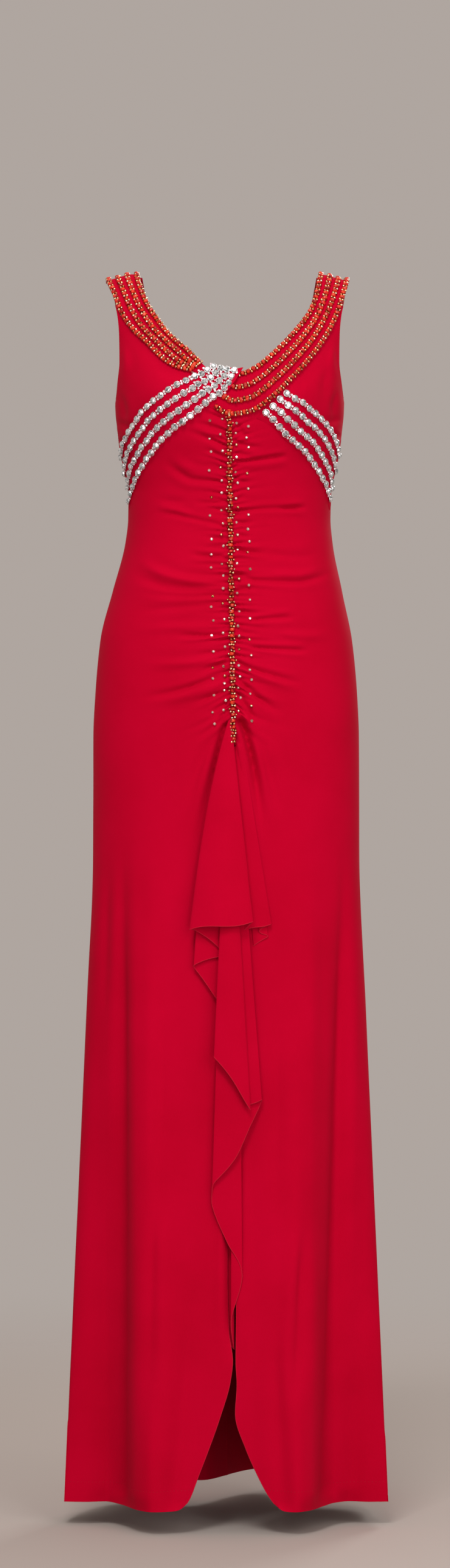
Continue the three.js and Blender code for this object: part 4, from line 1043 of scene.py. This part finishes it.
def seam_beads():
    """The string of beads down the centre seam, and the studs beside it."""
    coral, gold = Pile("seam_coral_beads", CORAL), Pile("seam_gold_beads", GOLD, True)
    studs = Pile("seam_studs", STUD)
    z, i = SEAM_BEADS_TOP, 0
    while z > SEAM_BEADS_FOOT:
        x = seam_x(z) + 0.8 * math.sin(1.7 * i)
        y = float(front_point(front_angle(x, z), np.float64(z))[1]) - 6.2 * float(smoothstep(-552, -572, z))
        if i % 2 == 0:
            size = 5.4 + 0.9 * math.sin(2.3 * i)
            coral.add(RONDELLE, [x, y - 2.2, z], rolled(THREADED, 0.6 * math.sin(3.7 * i)),
                      [1.05 * size, 1.1 * size, size])
            for hand in (-1, 1):
                if (i // 2 + hand) % 3 == 0:
                    gold.add(ROUND_BEAD, [x + hand * 3.9, y - 1.4, z], THREADED, 2.5)
            z -= 0.36 * size + 1.85
        else:
            three = i % 7 == 0
            for hand in ((-1, 0, 1) if three else (-1, 1)):
                drop = 0.5 * math.sin(4.1 * i + hand)
                place = [x + hand * (2.7 if three else 1.75), y - 2.3, z + drop]
                size = np.array([3.2, 3.4, 3.4]) * (0.86 if three else 1 + 0.08 * drop)
                gold.add(ROUND_BEAD, place, THREADED, size)
            z -= 3.75
        i += 1
    for side, col, away, heights in STUDS:
        for i, down in enumerate(heights):
            x = seam_x(-down) + side * (away + 1.3 * math.sin(2.7 * i + col + side))
            p = front_surface(x, -down, side)
            a = unit(front_surface(x + 0.8, -down, side) - p)
            n = unit(np.cross(a, unit(front_surface(x, 0.8 - down, side) - p)))
            n = n if n[1] < 0 else -n
            pile = gold if (i * 7 + col * 3 + side) % 5 == 0 else studs
            pile.add(SMALL_STONE, p, np.stack([a, np.cross(n, a), n]),
                     (3.9 + 0.3 * math.sin(4.3 * i + col)) * np.array([1, 1, 1.15]))
    return [coral.make(), gold.make(), studs.make()]


def stitches(pile, name, line, pitch, length, thick):
    """A row of stitches on a piece of cloth, along one line of its grid."""
    places, normals = (grid[line] for grid in grids[name])
    s = run(places, 0)
    at = np.arange(pitch, s[-1] - pitch, pitch)
    p, n = (np.stack([np.interp(at, s, a[:, k]) for k in range(3)], 1) for a in (places, normals))
    n = unit(n)
    along = unit(np.gradient(p, axis=0))
    across = unit(np.cross(n, along))
    for q, ax, m in zip(p, np.stack([along, across, unit(np.cross(along, across))], 1), n):
        pile.add(STITCH, q + m * 0.02, ax, [length, thick * 2.5, thick * 2])


def sewing():
    """Stitching of the hem, of the armholes and of the back neckline, sewn in the gown's own colour."""
    hem, edges = Pile("hem_stitches", THREAD, True), Pile("edge_stitches", THREAD, True)
    for part, skip, up in (("front_", 2, 5), ("back_", 1, 3)):
        for side in ("left", "right"):
            stitches(hem, part + side, np.s_[skip:-1, -up], *HEM_STITCH)
    for name in ("back_left", "back_right"):
        stitches(edges, name, np.s_[-4, 2:58], *EDGE_STITCH)
        stitches(edges, name, np.s_[1:56, 3], *EDGE_STITCH)
    for name in ("cup_left", "cup_right"):
        stitches(edges, name, np.s_[3, 2:40], *EDGE_STITCH)
    return [hem.make(), edges.make()]


def roll(name, line, radius=0.5, sides=7):
    """A narrow rolled hem along a line."""
    d = unit(np.gradient(line, axis=0))
    a = unit(np.cross(d, np.array([0.3, 1.0, 0.2])))
    b = np.cross(d, a)
    turn = np.linspace(0, 2 * np.pi, sides + 1)[None, :-1, None]
    verts = line[:, None] + radius * (a[:, None] * np.cos(turn) + b[:, None] * np.sin(turn))
    index = np.arange(len(line) * sides).reshape(-1, sides)
    nxt = np.roll(index, -1, axis=1)
    faces = np.stack([index[:-1], nxt[:-1], nxt[1:], index[1:]], -1).reshape(-1, 4).tolist()
    return new_object(name, verts.reshape(-1, 3), faces + [index[0][::-1], index[-1]], ROLL, sharp=60)


def rolled_hems():
    """The foot of the cascade, and both edges of the slit."""
    made = [roll(name + "_hem", grids[name][0][:, -1]) for name in ("cascade_tongue", "cascade_fall")]
    for name in ("front_left", "front_right"):
        outer, n = grids[name]
        edge = (outer - n * CLOTH / 2)[0]
        made.append(roll(name + "_edge_roll", edge[edge[:, 2] < SEAM_FOOT]))
    return made


# ---------- the gown ----------
cloth = {}
for part, make in (("front_", front_panel), ("back_", back_panel), ("cup_", cup)):
    for side in (1, -1):
        cloth[part + SIDE[side]] = make(side)
for name in strips:
    cloth[name] = strip_cloth(name)
cloth["cascade_tongue"] = cascade("cascade_tongue", TONGUE, 110, 6)
cloth["cascade_fall"] = cascade("cascade_fall", FALL, 130)

beads = strap_beads("strap_right", (11.6, 11.7, 11.8, 11.9))
beads += strap_beads("strap_left", (14.7, 14.6, 14.9, 15.0))
stones = band_stones("band_right", (0.12, 0.16, 0.2, 0.16), (9.9, 9.9, 9.9, 9.95),
                     (1.7, 2.0, 1.9, 1.5), -0.13)
stones += band_stones("band_left", (0.08, 0.08, 0.1, 0.1), (6.9, 6.9, 6.9, 6.95), (0, 0, 0, 0), 0.28)
stones += seam_beads()

# cut size in metres, how it is held, and the cut's own area in square metres
CUT = {
    "front_left": ((0.26, 1.5), "hung", 0.3), "front_right": ((0.28, 1.5), "hung", 0.325),
    "back_left": ((0.42, 1.47), "hung", 0.4), "back_right": ((0.4, 1.47), "hung", 0.375),
    "cup_left": ((0.14, 0.2), "stretched", 0.0158), "cup_right": ((0.14, 0.2), "stretched", 0.0171),
    "strap_left": ((0.058, 0.25), "stretched", 0.0123), "strap_right": ((0.044, 0.19), "stretched", 0.0076),
    "band_left": ((0.057, 0.18), "stretched", 0.0094), "band_right": ((0.055, 0.235), "stretched", 0.0118),
    "cascade_tongue": ((0.36, 0.3), "hung", 0.0448), "cascade_fall": ((0.27, 0.7), "hung", 0.0727),
}
for name, obj in cloth.items():
    flat, held, area = CUT[name]
    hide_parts(name)
    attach(obj, "root")
for objs, slot in ((beads, "beads"), (stones, "rhinestones"), (sewing() + rolled_hems(), "crepe")):
    for obj in objs:
        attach(obj, "root")


# ---------- floor, light and camera, in metres ----------
def fading(tree, where):
    """The floor fades out round the gown, so that no edge of it shows."""
    away = tree.nodes.new("ShaderNodeVectorMath")
    away.operation = "LENGTH"
    tree.links.new(where, away.inputs[0])
    alpha = node(tree, "MapRange", Value=away.outputs["Value"], From_Min=0.9, From_Max=2.9,
                 To_Min=1.0, To_Max=0.0, interpolation_type="SMOOTHSTEP")[0]
    return {"Alpha": alpha}


FLOOR_FINISH = material("studio_floor", fading, Base_Color=(0.40, 0.353, 0.325, 1), Roughness=0.85,
                        Specular_IOR_Level=0.15)
rim = [(3000 * math.cos(a), 3000 * math.sin(a), 0.0) for a in np.linspace(0, 2 * math.pi, 97)[:-1]]
floor = new_object("floor", rim, [range(96)], FLOOR_FINISH, smooth=False)
floor.location.z = FLOOR * 0.001

world = bpy.data.worlds.new("studio")
bpy.context.scene.world = world
world.use_nodes = True
fill(world.node_tree, world.node_tree.nodes["Background"], {"Color": (0.43, 0.38, 0.35, 1), "Strength": 1.0})

# name, place, the point it faces, width and height, watts
for name, place, aim, size, power in (
        ("key", (-0.5, -2.8, 2.5), (0, 0, -0.7), (1.1, 1.1), 89),
        ("fill", (1.9, -3.2, 0.6), (0, 0, -0.9), (2.4, 2.4), 45),
        ("low", (0.3, -3.3, -1.25), (0, 0, -1.4), (1.4, 0.5), 25),
        ("back", (1.5, 3.0, 1.3), (0, 0.1, -0.7), (1.0, 1.6), 52),
        ("top", (0, -0.4, 2.6), (0, 0, -0.8), (1.6, 1.2), 22),
        ("glint_left", (-0.9, -2.6, 0.5), (0, 0, -0.2), (0.12, 0.5), 5),
        ("glint_right", (0.8, -2.6, 0.9), (0, 0, -0.2), (0.10, 0.4), 4)):
    light = bpy.data.lights.new(name, "AREA")
    light.shape, light.size, light.size_y = "RECTANGLE", *size
    light.energy, light.color = power, (1, 0.985, 0.97)
    lamp = bpy.data.objects.new(name, light)
    lamp.location = place
    lamp.rotation_euler = Vector(np.subtract(aim, place)).to_track_quat("-Z", "Y").to_euler()
    bpy.context.scene.collection.objects.link(lamp)

camera_data = bpy.data.cameras.new("camera")
camera_data.sensor_width = 36
camera_data.lens = 109.0
camera_data.clip_start, camera_data.clip_end = 0.1, 100
camera = bpy.data.objects.new("camera", camera_data)
camera.location = (-0.0015, -6.0, -0.644)
camera.rotation_euler = (math.radians(90), 0, 0)
bpy.context.scene.collection.objects.link(camera)
bpy.context.scene.camera = camera
bpy.context.scene.view_settings.view_transform = "Standard"
